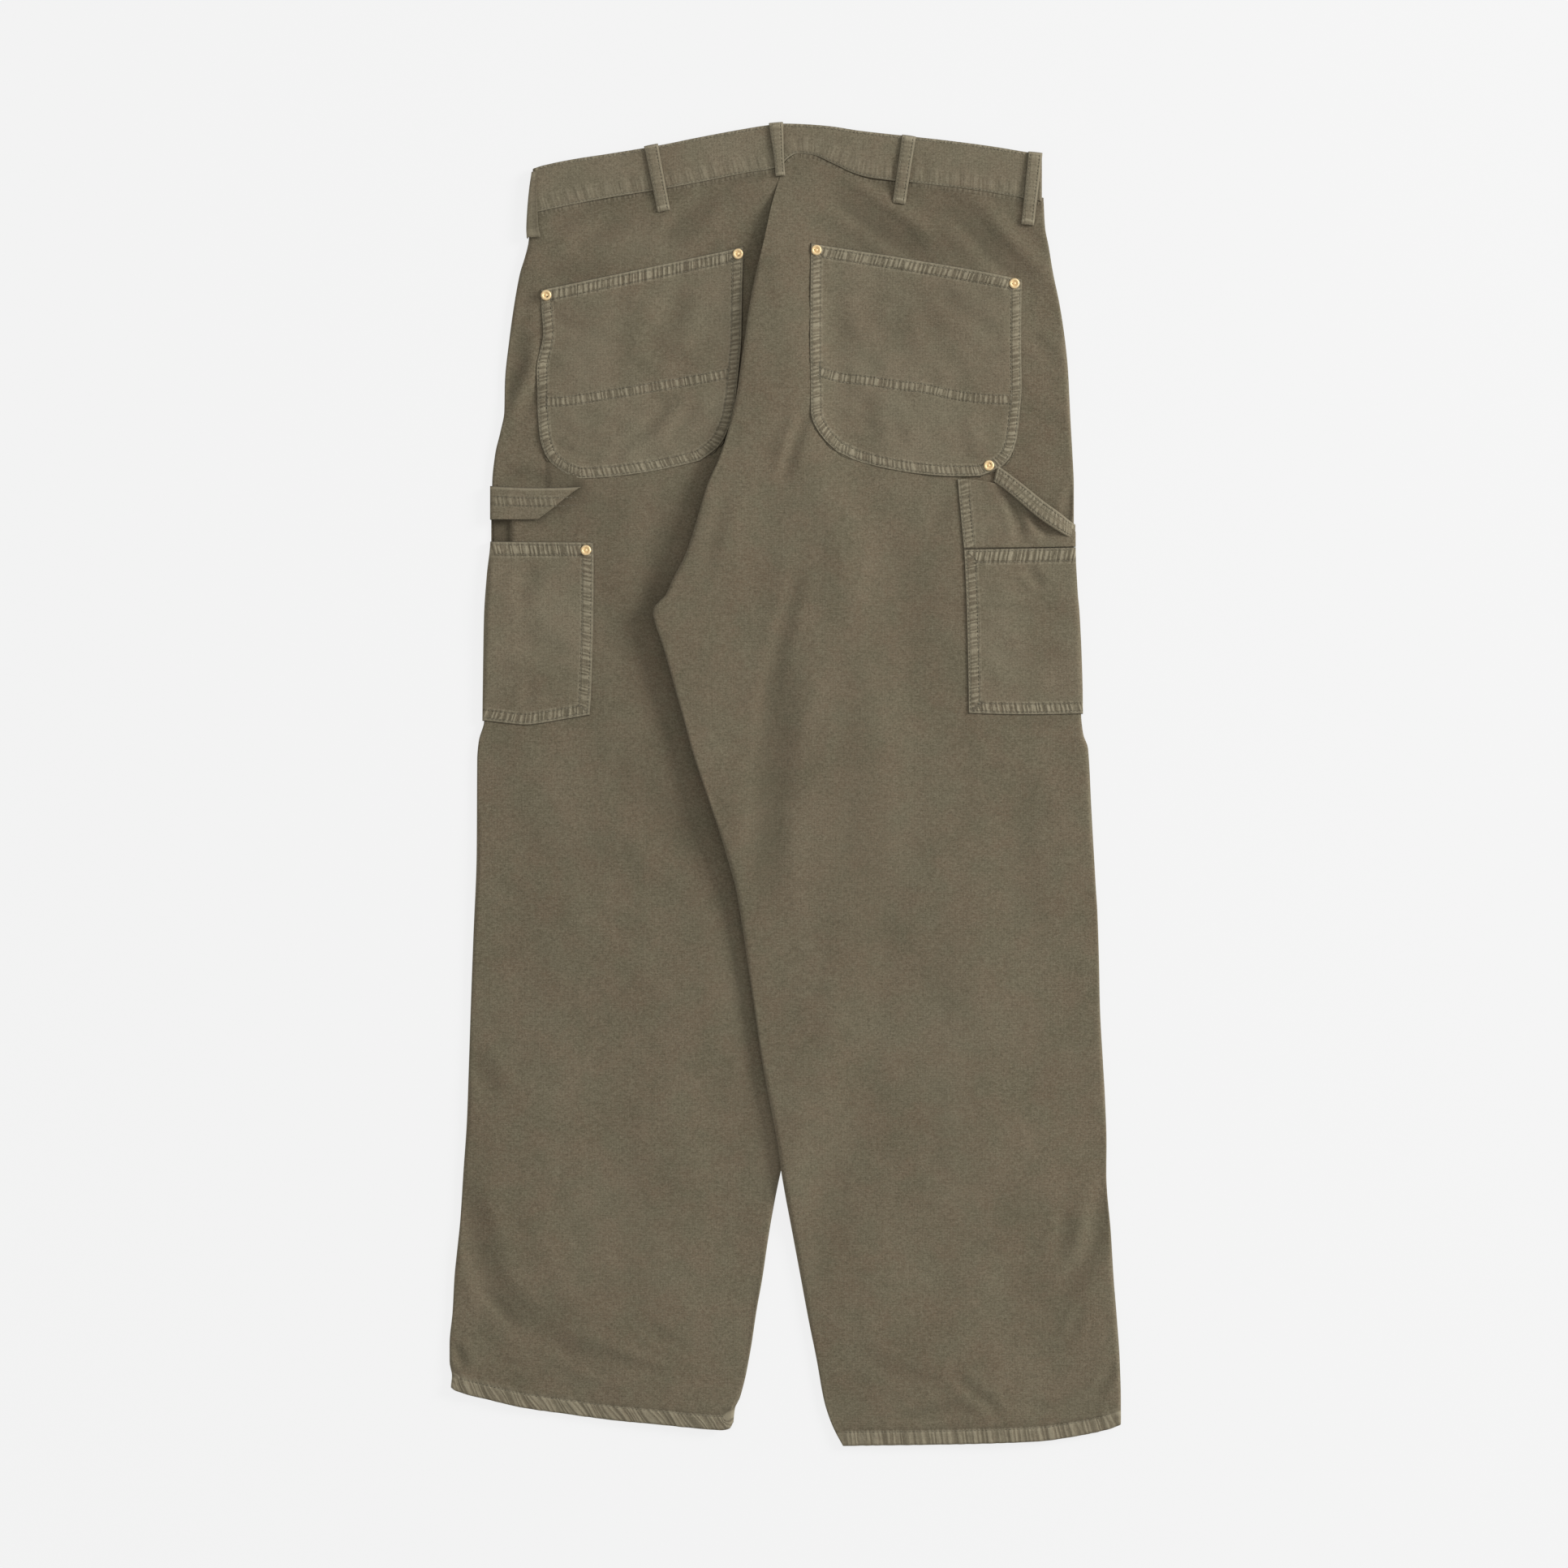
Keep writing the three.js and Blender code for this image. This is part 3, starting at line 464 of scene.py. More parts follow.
class Half:
    """One half of the trousers: its edges, and the height of the cloth anywhere on it."""

    def __init__(self, sections, hem, creases, tones, is_right):
        self.is_right = is_right
        self.creases = creases
        self.tones = tones
        self.outer = smooth_reader(sections, "y", "outer")
        self.inner = smooth_reader(sections, "y", "inner")
        self.left = self.inner if is_right else self.outer
        self.right = self.outer if is_right else self.inner
        self.hem = smooth_reader(hem, "x", "y")

    def edge_distance(self, x, y):
        seat = SEAT_ROLL * read_share(SEAT_FLAT, y)
        from_left = x - self.left(y) + (seat if self.is_right else 0)
        from_right = self.right(y) - x + (0 if self.is_right else seat)
        return np.minimum(from_left, from_right)

    def base(self, x, y):
        """Height that the cloth below pushes this half up to."""
        if not self.is_right:
            return np.zeros(np.shape(x))
        past = x - (left_half.inner(y) + 1)
        return LIFT * (1 - smoothstep(past / LIFT_RAMP)) * read_share(LIFT_ALONG, y)

    def spring(self, x, y):
        """How far the inner fold of the upper leg stands off the leg below."""
        if not self.is_right:
            return np.zeros(np.shape(x))
        from_edge = x - self.inner(y)
        return SPRING * (1 - smoothstep(from_edge / SPRING_RAMP)) * read_share(SPRING_ALONG, y)

    def relief(self, x, y):
        """Folds and unevenness, which fade out at the edges and are shallow over the waistband's front."""
        fade = smoothstep(self.edge_distance(x, y) / ROLL)
        height = fade * (ridge_height(x, y) + uneven(x, y))
        height = height + crease_height(self.creases, x, y) * (0.35 + 0.65 * fade)
        deepest = 1.0 + 1.5 * smoothstep((430 - y) / 20)
        return np.where(height < 0, -deepest * np.tanh(-height / deepest), height)

    def top(self, x, y):
        """Height of the cloth's upper side, which rolls down to its edges in a quarter round."""
        t = 1 - np.clip(self.edge_distance(x, y) / ROLL, 0, 1)
        share = np.sqrt(np.clip(1 - t * t, 0, 1))
        full = PLATEAU + self.relief(x, y)
        return self.base(x, y) + self.spring(x, y) + EDGE_HEIGHT + (full - EDGE_HEIGHT) * share


left_half = Half(LEFT_SECTIONS, LEFT_HEM, LEFT_CREASES, LEFT_TONES, False)
right_half = Half(RIGHT_SECTIONS, RIGHT_HEM, RIGHT_CREASES, RIGHT_TONES, True)
waist_top, waist_seam, front_waist_top, front_waist_seam = (
    smooth_reader(line, "x", "y") for line in (WAIST_TOP, WAIST_SEAM, FRONT_WAIST_TOP, FRONT_WAIST_SEAM)
)


# Seams: puckers across a line of sewing, uneven in spacing and depth
def pucker_wave(run, spacing, seed):
    """Uneven waves along a seam, from -1 in the valleys to 1 on the crests."""
    phase = 2 * np.pi * run / spacing
    bend = 1.9 * np.sin(run * 0.071 + seed) + 1.2 * np.sin(run * 0.173 + 2.1 * seed)
    size = 0.62 + 0.38 * np.sin(run * 0.113 + 3.7 * seed) * np.sin(run * 0.047 + seed)
    return np.sin(phase + bend) * size


def seam_marks(line, x, y, rows, spacing, seed, slant=0.0, strength=1.0):
    """Marks beside one seam. rows holds the distances of its first and second row of sewing."""
    away, run, _ = along_line(line, x, y)
    first, second = rows
    window = 1 - smoothstep((away - second) / (0.6 * (second - first) + 1.5))
    return {
        "height": PUCKER_HEIGHT * strength * window * pucker_wave(run + slant * away, spacing, seed),
        "rope": strength * window,
        "run": run + slant * away + 137.0 * seed,
        "lane": (away - first) / (second - first),
        "away": away,
    }


def cross_seam(rows, x, y, seed):
    """Marks of a seam that runs across a pocket between two rows of sewing."""
    first, second = (along_line(round_line(row), x, y) for row in rows)
    share = 0.5 + (first[0] ** 2 - second[0] ** 2) / (2 * CROSS_GAP**2)
    share = np.clip(share, -3, 4)
    window = np.clip(1 - (np.abs(share - 0.5) - 0.5) / 0.5, 0, 1) ** 2
    return {
        "height": 0.22 * window * pucker_wave(first[1], 6.4, seed),
        "rope": 0.85 * window,
        "run": first[1] + 137.0 * seed,
        "lane": share,
        "away": np.full(x.shape, 9.0),
    }


def merge_marks(shape, seams):
    """The height and marks of several seams together, each point taking its nearest seam's."""
    marks = {"rope": np.zeros(shape), "run": np.zeros(shape), "lane": np.full(shape, 4.0)}
    nearest = np.full(shape, 1e9)
    height = np.zeros(shape)
    for seam in seams:
        closer = (seam["away"] < nearest) & (seam["rope"] > 0.001)
        nearest = np.where(closer, seam["away"], nearest)
        for mark in marks:
            marks[mark] = np.where(closer, seam[mark], marks[mark])
        height += seam["height"]
    marks["wear_and_painted_light"] = np.zeros(shape)
    marks["shade"] = np.zeros(shape)
    return height, marks


def padded(marks, rows, columns):
    """The marks with added rows and columns, which take the marks of their neighbours."""
    return {mark: np.pad(values, (rows, columns), mode="edge") for mark, values in marks.items()}


# Meshes
def add_object(name, mesh, material):
    mesh.materials.append(material)
    thing = bpy.data.objects.new(name, mesh)
    bpy.context.collection.objects.link(thing)
    return thing


def grid_normals(points):
    """Unit normals of a grid of points whose rows run down and whose columns run right."""
    normals = np.cross(np.gradient(points, axis=0), np.gradient(points, axis=1))
    length = np.linalg.norm(normals, axis=2, keepdims=True)
    return normals / np.maximum(length, 1e-9)


def shell_faces(rows, columns):
    """Four-sided faces of two grids of points, one under the other, and of the rim between them."""
    index = np.arange(rows * columns).reshape(rows, columns)
    a, b = index[:-1, :-1].ravel(), index[1:, :-1].ravel()
    c, d = index[1:, 1:].ravel(), index[:-1, 1:].ravel()
    under = rows * columns
    rim = np.concatenate([index[:-1, 0], index[-1, :-1], index[:0:-1, -1], index[0, :0:-1]])
    after = np.roll(rim, -1)
    upper = np.stack([a, b, c, d], 1)
    lower = np.stack([a, d, c, b], 1) + under
    return np.concatenate([upper, lower, np.stack([rim, rim + under, after + under, after], 1)])


def cloth_piece(name, points, thickness, material, marks=None, floor=0.15):
    """A closed wall of cloth under a grid of outer points, with its marks as attributes, in place of the
    solid that its cut names.
    """
    rows, columns, _ = points.shape
    inner = points - grid_normals(points) * thickness
    inner[..., 2] = np.maximum(inner[..., 2], floor)
    vertices = np.concatenate([points.reshape(-1, 3), inner.reshape(-1, 3)]) * MM
    faces = shell_faces(rows, columns)
    mesh = bpy.data.meshes.new(name)
    mesh.vertices.add(len(vertices))
    mesh.vertices.foreach_set("co", vertices.ravel())
    mesh.loops.add(faces.size)
    mesh.loops.foreach_set("vertex_index", faces.ravel().astype(np.int32))
    mesh.polygons.add(len(faces))
    mesh.polygons.foreach_set("loop_start", np.arange(0, faces.size, 4, dtype=np.int32))
    mesh.polygons.foreach_set("loop_total", np.full(len(faces), 4, dtype=np.int32))
    mesh.update(calc_edges=True)
    mesh.validate()
    mesh.shade_smooth()
    for mark in ("rope", "run", "lane", "wear_and_painted_light", "shade"):
        values = np.broadcast_to((marks or {}).get(mark, 0.0), (rows, columns)).ravel()
        inside = values * (mark in ("run", "lane"))
        attribute = mesh.attributes.new(mark, "FLOAT", "POINT")
        attribute.data.foreach_set("value", np.concatenate([values, inside]).astype(np.float32))
    piece = add_object(name, mesh, material)
    cut = next(row for row in CUTS if row["piece"] == name)
    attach(piece, "root")
    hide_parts(cut["node"])


# Materials
OLIVE_GREEN = (0.131, 0.112, 0.0695)
OLIVE_BROWN = (0.150, 0.113, 0.0715)
# Next, the pale of wear and of painted light, and the dark of the pits between threads and of painted shade
WORN_AND_PAINTED_LIGHT = (0.308, 0.270, 0.187)
DEEP = (0.078, 0.064, 0.040)
THREAD_DARK = (0.118, 0.103, 0.070)
THREAD_PALE = (0.25, 0.225, 0.16)
BRASS_PALE = (1.0, 0.79, 0.47)
BRASS_DARK = (0.85, 0.61, 0.31)
PUCKER = 4.1


def new_material(name, **values):
    """A material, its node tree, its shader with these values set, and the place on the object."""
    material = bpy.data.materials.new(name)
    material.use_nodes = True
    tree = material.node_tree
    shader = tree.nodes["Principled BSDF"]
    for socket, value in values.items():
        shader.inputs[socket.replace("_", " ")].default_value = value
    place = tree.nodes.new("ShaderNodeTexCoord").outputs["Object"]
    return material, tree, shader, place


def add_node(tree, kind, **values):
    node = tree.nodes.new(kind)
    for key, value in values.items():
        if hasattr(node, key):
            setattr(node, key, value)
        else:
            node.inputs[key].default_value = value
    return node


def fill(tree, socket, value):
    """Sets a socket to a number or a colour, or links it to another socket."""
    if isinstance(value, (int, float)):
        socket.default_value = value
    elif isinstance(value, tuple):
        socket.default_value = (*value, 1)
    else:
        tree.links.new(value, socket)


def calculate(tree, operation, first, second=0):
    node = add_node(tree, "ShaderNodeMath", operation=operation)
    fill(tree, node.inputs[0], first)
    fill(tree, node.inputs[1], second)
    return node.outputs[0]


def times(tree, first, *others):
    for other in others:
        first = calculate(tree, "MULTIPLY", first, other)
    return first


def plus(tree, first, *others):
    for other in others:
        first = calculate(tree, "ADD", first, other)
    return first


def read_attribute(tree, name):
    return add_node(tree, "ShaderNodeAttribute", attribute_name=name).outputs["Fac"]


def at_plane(tree, x, y=0):
    """A place to read noise at, from two numbers."""
    node = add_node(tree, "ShaderNodeCombineXYZ")
    fill(tree, node.inputs[0], x)
    fill(tree, node.inputs[1], y)
    return node.outputs[0]


def mix_colours(tree, factor, first, second):
    node = add_node(tree, "ShaderNodeMix", data_type="RGBA")
    for number, value in ((0, factor), (6, first), (7, second)):
        fill(tree, node.inputs[number], value)
    return node.outputs[2]


def noise(tree, vector, scale, detail=2.0, roughness=0.5):
    node = add_node(tree, "ShaderNodeTexNoise", Scale=scale, Detail=detail, Roughness=roughness)
    fill(tree, node.inputs["Vector"], vector)
    return node.outputs["Fac"]


def ramp(tree, value, low, high):
    """The value stretched so that low becomes 0 and high becomes 1."""
    node = add_node(tree, "ShaderNodeMapRange")
    fill(tree, node.inputs["Value"], value)
    fill(tree, node.inputs["From Min"], low)
    fill(tree, node.inputs["From Max"], high)
    return node.outputs["Result"]


def stripe(tree, lane, centre, outer, inner):
    """1 on a line along a seam, from inner to 0 at outer away from it."""
    away = calculate(tree, "ABSOLUTE", calculate(tree, "SUBTRACT", lane, centre))
    return ramp(tree, away, outer, inner)


def patched(tree, colour, other, strength, vector, grain, window):
    """The colour with patches of another. grain: scale, detail and roughness of the patches' noise."""
    patches = ramp(tree, noise(tree, vector, *grain), *window)
    return mix_colours(tree, times(tree, patches, strength), colour, other)


def bump(tree, shader, height, strength, distance, under=None):
    """Relief on the shader's surface, over the relief of another bump node if one is given."""
    node = add_node(tree, "ShaderNodeBump", Strength=strength, Distance=distance)
    fill(tree, node.inputs["Height"], height)
    if under is not None:
        tree.links.new(under.outputs["Normal"], node.inputs["Normal"])
    tree.links.new(node.outputs["Normal"], shader.inputs["Normal"])
    return node


def dyed_colour(tree, place, clouds):
    """Mottled olive with faded clouds, slubs, pits between the threads and pale flecks."""
    slubs = add_node(tree, "ShaderNodeMapping", Scale=(0.45, 1.0, 1.0))
    tree.links.new(place, slubs.inputs["Vector"])
    colour = patched(tree, OLIVE_GREEN, OLIVE_BROWN, 1.0, place, (38, 4, 0.6), (0.38, 0.62))
    colour = patched(tree, colour, WORN_AND_PAINTED_LIGHT, clouds, place, (13, 4, 0.6), (0.36, 0.66))
    colour = patched(tree, colour, WORN_AND_PAINTED_LIGHT, 0.07, place, (60, 4, 0.65), (0.42, 0.70))
    colour = patched(tree, colour, WORN_AND_PAINTED_LIGHT, 0.30, slubs.outputs["Vector"], (720, 2, 0.8), (0.40, 0.62))
    colour = patched(tree, colour, DEEP, 0.55, place, (640, 2, 0.85), (0.54, 0.34))
    return patched(tree, colour, WORN_AND_PAINTED_LIGHT, 0.30, place, (1100, 1, 0.5), (0.64, 0.76))


def seam_wear_and_painted_shade(tree, paler):
    """Worn paleness on the puckers' crests, painted shade in their valleys and on the sunken rows, and
    their relief, in a ladder between two rows of sewing. The pale also takes the marks of wear and
    painted light, and the dark the marks of painted shade.
    """
    rope, run, lane = (read_attribute(tree, mark) for mark in ("rope", "run", "lane"))
    drift = noise(tree, at_plane(tree, times(tree, run, 0.13)), 1.0, 2, 0.5)
    blur = noise(tree, at_plane(tree, times(tree, run, 0.33), times(tree, lane, 1.4)), 1.0, 3, 0.6)
    turns = plus(tree, times(tree, run, 1 / PUCKER), times(tree, drift, 3.2))
    wave = calculate(tree, "SINE", times(tree, turns, 2 * math.pi))
    cell = plus(tree, times(tree, wave, 0.24), blur)
    between = times(tree, ramp(tree, lane, -0.3, 0.15), ramp(tree, lane, 1.35, 0.85))
    ladder = times(tree, between, rope, ramp(tree, drift, 0.15, 0.5))
    rows = plus(tree, stripe(tree, lane, 0.0, 0.17, 0.06), stripe(tree, lane, 1.0, 0.17, 0.06))
    rows = times(tree, rows, rope)
    crests = plus(tree, stripe(tree, lane, 1.22, 0.18, 0.04), stripe(tree, lane, -0.22, 0.18, 0.04))
    crests = times(tree, crests, rope, ramp(tree, blur, 0.30, 0.66))
    pale = times(tree, ramp(tree, cell, 0.50, 0.74), ladder, 0.85)
    pale = plus(tree, pale, times(tree, crests, 0.42), read_attribute(tree, "wear_and_painted_light"), paler)
    pale = plus(tree, pale, times(tree, ladder, 0.13))
    dark = times(tree, ramp(tree, cell, 0.46, 0.26), ladder, 0.48)
    dark = plus(tree, dark, read_attribute(tree, "shade"), times(tree, rows, 0.22))
    relief = calculate(tree, "SUBTRACT", times(tree, cell, ladder), times(tree, rows, 0.35))
    return pale, dark, relief


def weave_height(tree, place):
    threads = 0.35
    for direction, scale in (("X", 330), ("Y", 300)):
        node = add_node(tree, "ShaderNodeTexWave", wave_type="BANDS", bands_direction=direction)
        node.inputs["Scale"].default_value = scale
        node.inputs["Distortion"].default_value = 1.6
        tree.links.new(place, node.inputs["Vector"])
        threads = times(tree, node.outputs["Fac"], threads)
    return plus(tree, threads, noise(tree, place, 520, 4, 0.75))


def canvas_material(name, paler, clouds):
    """Garment-dyed cotton canvas: mottled, with a fine weave, worn pale across its puckered seams, and
    with painted shade and painted light mixed into its colour from its marks.
    """
    look = {"Roughness": 0.92, "Specular_IOR_Level": 0.18, "Sheen_Weight": 0.05, "Sheen_Roughness": 0.6}
    material, tree, shader, place = new_material(name, **look)
    pale, dark, relief = seam_wear_and_painted_shade(tree, paler)
    # Pale of wear and of painted light first, then painted shade towards the deep colour
    colour = mix_colours(tree, pale, dyed_colour(tree, place, clouds), WORN_AND_PAINTED_LIGHT)
    colour = mix_colours(tree, dark, colour, DEEP)
    tree.links.new(colour, shader.inputs["Base Color"])
    weave = bump(tree, shader, weave_height(tree, place), 0.55, 0.0006)
    bump(tree, shader, relief, 0.9, 0.0007, weave)
    return material


def thread_material():
    material, tree, shader, place = new_material("sewing_thread", Roughness=0.8)
    colour = patched(tree, THREAD_DARK, THREAD_PALE, 1.0, place, (90, 3, 0.6), (0.35, 0.65))
    tree.links.new(colour, shader.inputs["Base Color"])
    bump(tree, shader, noise(tree, place, 2600, 1), 0.3, 0.0002)
    return material


def brass_material():
    material, tree, shader, place = new_material("worn_brass", Metallic=0.6)
    colour = patched(tree, BRASS_PALE, BRASS_DARK, 1.0, place, (900, 4, 0.6), (0.35, 0.7))
    tree.links.new(colour, shader.inputs["Base Color"])
    tree.links.new(ramp(tree, noise(tree, place, 1300, 3), -0.5, 1.4), shader.inputs["Roughness"])
    bump(tree, shader, noise(tree, place, 1800, 3), 0.2, 0.0002)
    return material


canvas = canvas_material("canvas", 0.0, 0.14)
canvas_patch = canvas_material("canvas_patch", 0.05, 0.28)
thread = thread_material()
brass = brass_material()


# Stitches: short bent threads laid on a piece's surface, joined into one mesh for each area
class Stitching:
    RADIUS = 0.27
    SIDES = 5
    THICKNESS = (0.55, 1.0, 1.0, 0.55)
    HEIGHTS = np.array([-0.12, 0.2, 0.2, -0.12])

    def __init__(self):
        self.vertices = []
        self.faces = []

    def row(self, line, surface, pitch=3.3, length=2.5):
        """Stitches along a line of plan points, sunk at their ends."""
        points = np.array(line, float)
        steps = np.hypot(*np.diff(points, axis=0).T)
        run = np.concatenate([[0], np.cumsum(steps)])
        at = pitch / 2
        while at < run[-1] - length / 2:
            ends = np.array([at - length / 2, at - length / 5, at + length / 5, at + length / 2])
            xs = np.interp(ends, run, points[:, 0])
            ys = np.interp(ends, run, points[:, 1])
            self.thread(np.stack([xs, ys, surface(xs, ys) + self.HEIGHTS], 1))
            at += pitch * rng.uniform(0.94, 1.06)

    def thread(self, path):
        sides, first = self.SIDES, len(self.vertices)
        direction = path[-1] - path[0]
        direction /= max(np.linalg.norm(direction), 1e-6)
        side = np.cross(direction, (0, 0, 1.0))
        side /= max(np.linalg.norm(side), 1e-6)
        up = np.cross(side, direction)
        for centre, share in zip(path, self.THICKNESS):
            for k in range(sides):
                angle = 2 * math.pi * k / sides
                offset = side * math.cos(angle) + up * math.sin(angle)
                self.vertices.append(tuple((centre + offset * self.RADIUS * share) * MM))
        for ring in range(len(path) - 1):
            for k in range(sides):
                a, b = first + ring * sides + k, first + ring * sides + (k + 1) % sides
                self.faces.append((a, b, b + sides, a + sides))
        self.faces.append(tuple(first + k for k in reversed(range(sides))))
        last = first + (len(path) - 1) * sides
        self.faces.append(tuple(last + k for k in range(sides)))

    def build(self, name):
        mesh = bpy.data.meshes.new(name)
        mesh.from_pydata(self.vertices, [], self.faces)
        mesh.shade_smooth()
        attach(add_object(name, mesh, thread), "root")


def surface_of(points):
    """Height of a grid of points at any plan point near it."""
    flat = points.reshape(-1, 3)
    tree = kdtree.KDTree(len(flat))
    for i, (x, y, _) in enumerate(flat):
        tree.insert((x, y, 0), i)
    tree.balance()

    def read(xs, ys):
        heights = []
        for x, y in zip(xs, ys):
            near = tree.find_n((x, y, 0), 3)
            weights = [1 / (distance + 0.05) for _, _, distance in near]
            total = sum(w * flat[i][2] for w, (_, i, _) in zip(weights, near))
            heights.append(total / sum(weights))
        return np.array(heights)

    return read


pocket_stitching = Stitching()
waist_stitching = Stitching()
leg_stitching = Stitching()


# Legs
def grid_row(x, y, row):
    return list(zip(x[row], y[row]))


def half_grid(half, seam, step):
    """Plan points of one half from its waist seam to its hem, finer at its edges."""
    fine = np.linspace(0, 1, 10)[1:] * 0.0125
    middle = np.linspace(0.0155, 0.984, int(LEG_LENGTH / step[0]))
    shares = np.concatenate([[0], fine, middle, 1 - fine[::-1], [1]])

    def row_y(x, shares):
        top = seam(x) + 0.1
        return top - shares * (top - half.hem(x))

    left, right = half.left(np.zeros_like(shares)), half.right(np.zeros_like(shares))
    for _ in range(25):
        left, right = half.left(row_y(left, shares)), half.right(row_y(right, shares))
    inside = int((LEG_WIDTH - 2 * EDGE_STEPS[-1]) / step[1])
    start = left[:, None] + EDGE_STEPS
    end = right[:, None] - EDGE_STEPS[::-1]
    middle = start[:, -1:] + np.linspace(0, 1, inside + 2)[1:-1] * (end[:, :1] - start[:, -1:])
    x = np.concatenate([start, middle, end], 1)
    return x, row_y(x, shares[:, None])


def with_lips(half, points):
    """Adds the turn of the cloth down to its lower layer at both side edges.

    Near the waistband the seat seam is flat, and the left back goes on under the right one there.
    """
    lips = []
    for column, sign in ((0, 1), (-1, -1)):
        edge = points[:, [column]]
        is_inner = half.is_right == (column == 0)
        seat = read_share(SEAT_FLAT, edge[..., 1]) if is_inner else np.zeros(edge.shape[:2])
        foot = edge.copy()
        under = 0.0 if half.is_right else TUCK
        foot[..., 0] += (1 - seat) * sign * 0.25 - seat * sign * under
        low = half.base(edge[..., 0], edge[..., 1]) + LIP_END
        foot[..., 2] = (1 - seat) * low + seat * (edge[..., 2] - 1.6)
        middle = 0.5 * (foot + edge)
        middle[..., 0] -= sign * 0.15
        middle[..., 2] -= seat * 0.5
        lips.append([foot, middle])
    return np.concatenate([lips[0][0], lips[0][1], points, lips[1][1], lips[1][0]], 1)


def with_waist_tuck(points):
    """Carries the cloth on under the waistband above its upper row."""
    low = points[:1].copy()
    low[..., 1] += 0.3
    low[..., 2] = np.clip(low[..., 2] - 1.4, LOWEST, 3.7)
    high = low.copy()
    high[..., 1] += TUCK
    high[..., 2] = np.minimum(high[..., 2], 3.5)
    return np.concatenate([high, low, points])


def add_hem(marks, x, y, spacing, slant, seed):
    """Marks of the turned-up hem, whose puckers lean by slant. Gives its height."""
    away, run, _ = along_line(grid_row(x, y, -1)[::3], x, y)
    inside = 1 - smoothstep((away - HEM_DEPTH + 0.8) / 1.6)
    nearby = 1 - smoothstep((away - HEM_DEPTH) / 9)
    groove = bell(away - HEM_DEPTH - 0.2, 1.0)
    wave = pucker_wave(run + slant * away, spacing, seed)
    rope = 0.6 * (1 - smoothstep((away - HEM_DEPTH) / 3))
    stronger = rope > marks["rope"]
    ladder_run = (run + slant * away) * 0.85 + 1.2 * np.sin(run * 0.19 + seed)
    marks["run"] = np.where(stronger, ladder_run, marks["run"])
    marks["lane"] = np.where(stronger, away / (HEM_DEPTH - 0.4), marks["lane"])
    marks["rope"] = np.maximum(marks["rope"], rope)
    marks["wear_and_painted_light"] += inside * (0.27 + HEM_WEAR * np.clip(wave, 0, 1) ** 2)
    marks["wear_and_painted_light"] += HEM_WEAR * bell(away - HEM_DEPTH + 1.6, 0.9)
    # Painted shade in the groove above the hem and in the valleys of its puckers
    marks["shade"] += HEM_SHADE * groove + 0.12 * inside * np.clip(-wave, 0, 1)
    return HEM_EXTRA * inside + 0.75 * nearby * wave * (0.45 + 0.55 * inside) - 0.5 * groove


# Beside the left strap: its slanting end, the side and the low and high end of the slot below it, and
# the same of the strap's own tail above it
STRAP_SLANT = [(-163, 250), (-178, 238), (-193, 227), (-208, 215)]
SLOT_X = -225.7
SLOT_LOW, SLOT_HIGH = 190, 222
SLOT_DEPTH = 2.8
TAIL_X = -195
TAIL_LOW, TAIL_HIGH = 240, 266


def add_beside_strap(marks, x, y):
    """The slot with painted shade in it, the strap's painted shadow, and its tail between its upper
    edge and the pocket, with painted shade over it and along its side. Gives the height.
    """
    slot = smoothstep((SLOT_X - x) / 1.5 + 0.5) * smoothstep((y - SLOT_LOW) / 4)
    slot *= 1 - smoothstep((y - SLOT_HIGH) / 4)
    marks["shade"] += slot * (0.55 + 0.15 * smoothstep((y - 207) / 8))
    away, run, length = along_line(STRAP_SLANT, x, y)
    marks["shade"] += 0.6 * bell(away, 5.0) * smoothstep(run / 4) * smoothstep((length - run) / 5)
    tail = smoothstep((x - TAIL_X) / 0.8 + 0.5) * (1 - smoothstep((x + 172) / 8))
    tail *= smoothstep((y - TAIL_LOW) / 2) * (1 - smoothstep((y - TAIL_HIGH) / 6))
    tail_edge = bell(x - TAIL_X, 1.3) * smoothstep((y - TAIL_LOW - 2) / 3)
    tail_edge *= 1 - smoothstep((y - TAIL_HIGH) / 4)
    marks["shade"] += 0.30 * tail + 0.6 * tail_edge
    return 0.9 * tail * (1 + 0.5 * np.sin((x + y) * 0.9)) - SLOT_DEPTH * slot


def add_seat_shade(marks, x, y):
    # Painted shadow on the left half beside the seat seam, where the right half's fold stands over it
    beside_seam = np.clip((right_half.inner(y) - x) / 9, 0, 9)
    marks["shade"] += 0.12 * smoothstep((y - 300) / 30) * bell(beside_seam, 1)


def back_leg(half, name, hem_spacing, hem_slant, hem_seed):
    x, y = half_grid(half, waist_seam, LEG_STEP)
    below_band = waist_seam(x) - y
    upper_seam = grid_row(x, y, 0)[::3]
    seam = seam_marks(upper_seam, x, y, (0, 3), 6.5, 1.3 + half.is_right, 0, 0.45)
    height, marks = merge_marks(x.shape, [seam])
    z = half.top(x, y) + 0.6 * np.exp(-below_band / 7) + 0.7 * height
    z += add_hem(marks, x, y, hem_spacing, hem_slant, hem_seed)
    marks["wear_and_painted_light"] += 0.09 * (1 - smoothstep(half.edge_distance(x, y) / 3.0))
    # Painted shade in the troughs and under the waistband, and painted shade and light at the half's tone
    # places
    marks["shade"] += crease_shade(half.creases, x, y)
    marks["shade"] += BAND_SHADE * bell(below_band, 5) + 0.03 * bell(below_band, 44)
    add_tones(marks, half.tones, x, y)
    if not half.is_right:
        z += add_beside_strap(marks, x, y)
        add_seat_shade(marks, x, y)
    points = with_waist_tuck(with_lips(half, np.stack([x, y, z], 2)))
    cloth_piece(name, points, CLOTH, canvas, padded(marks, (2, 0), (2, 2)))
    sewing = offset_line(grid_row(x, y, -1), HEM_SEWING)
    leg_stitching.row(sewing[3:-3], surface_of(points[-40:]), pitch=3.2)


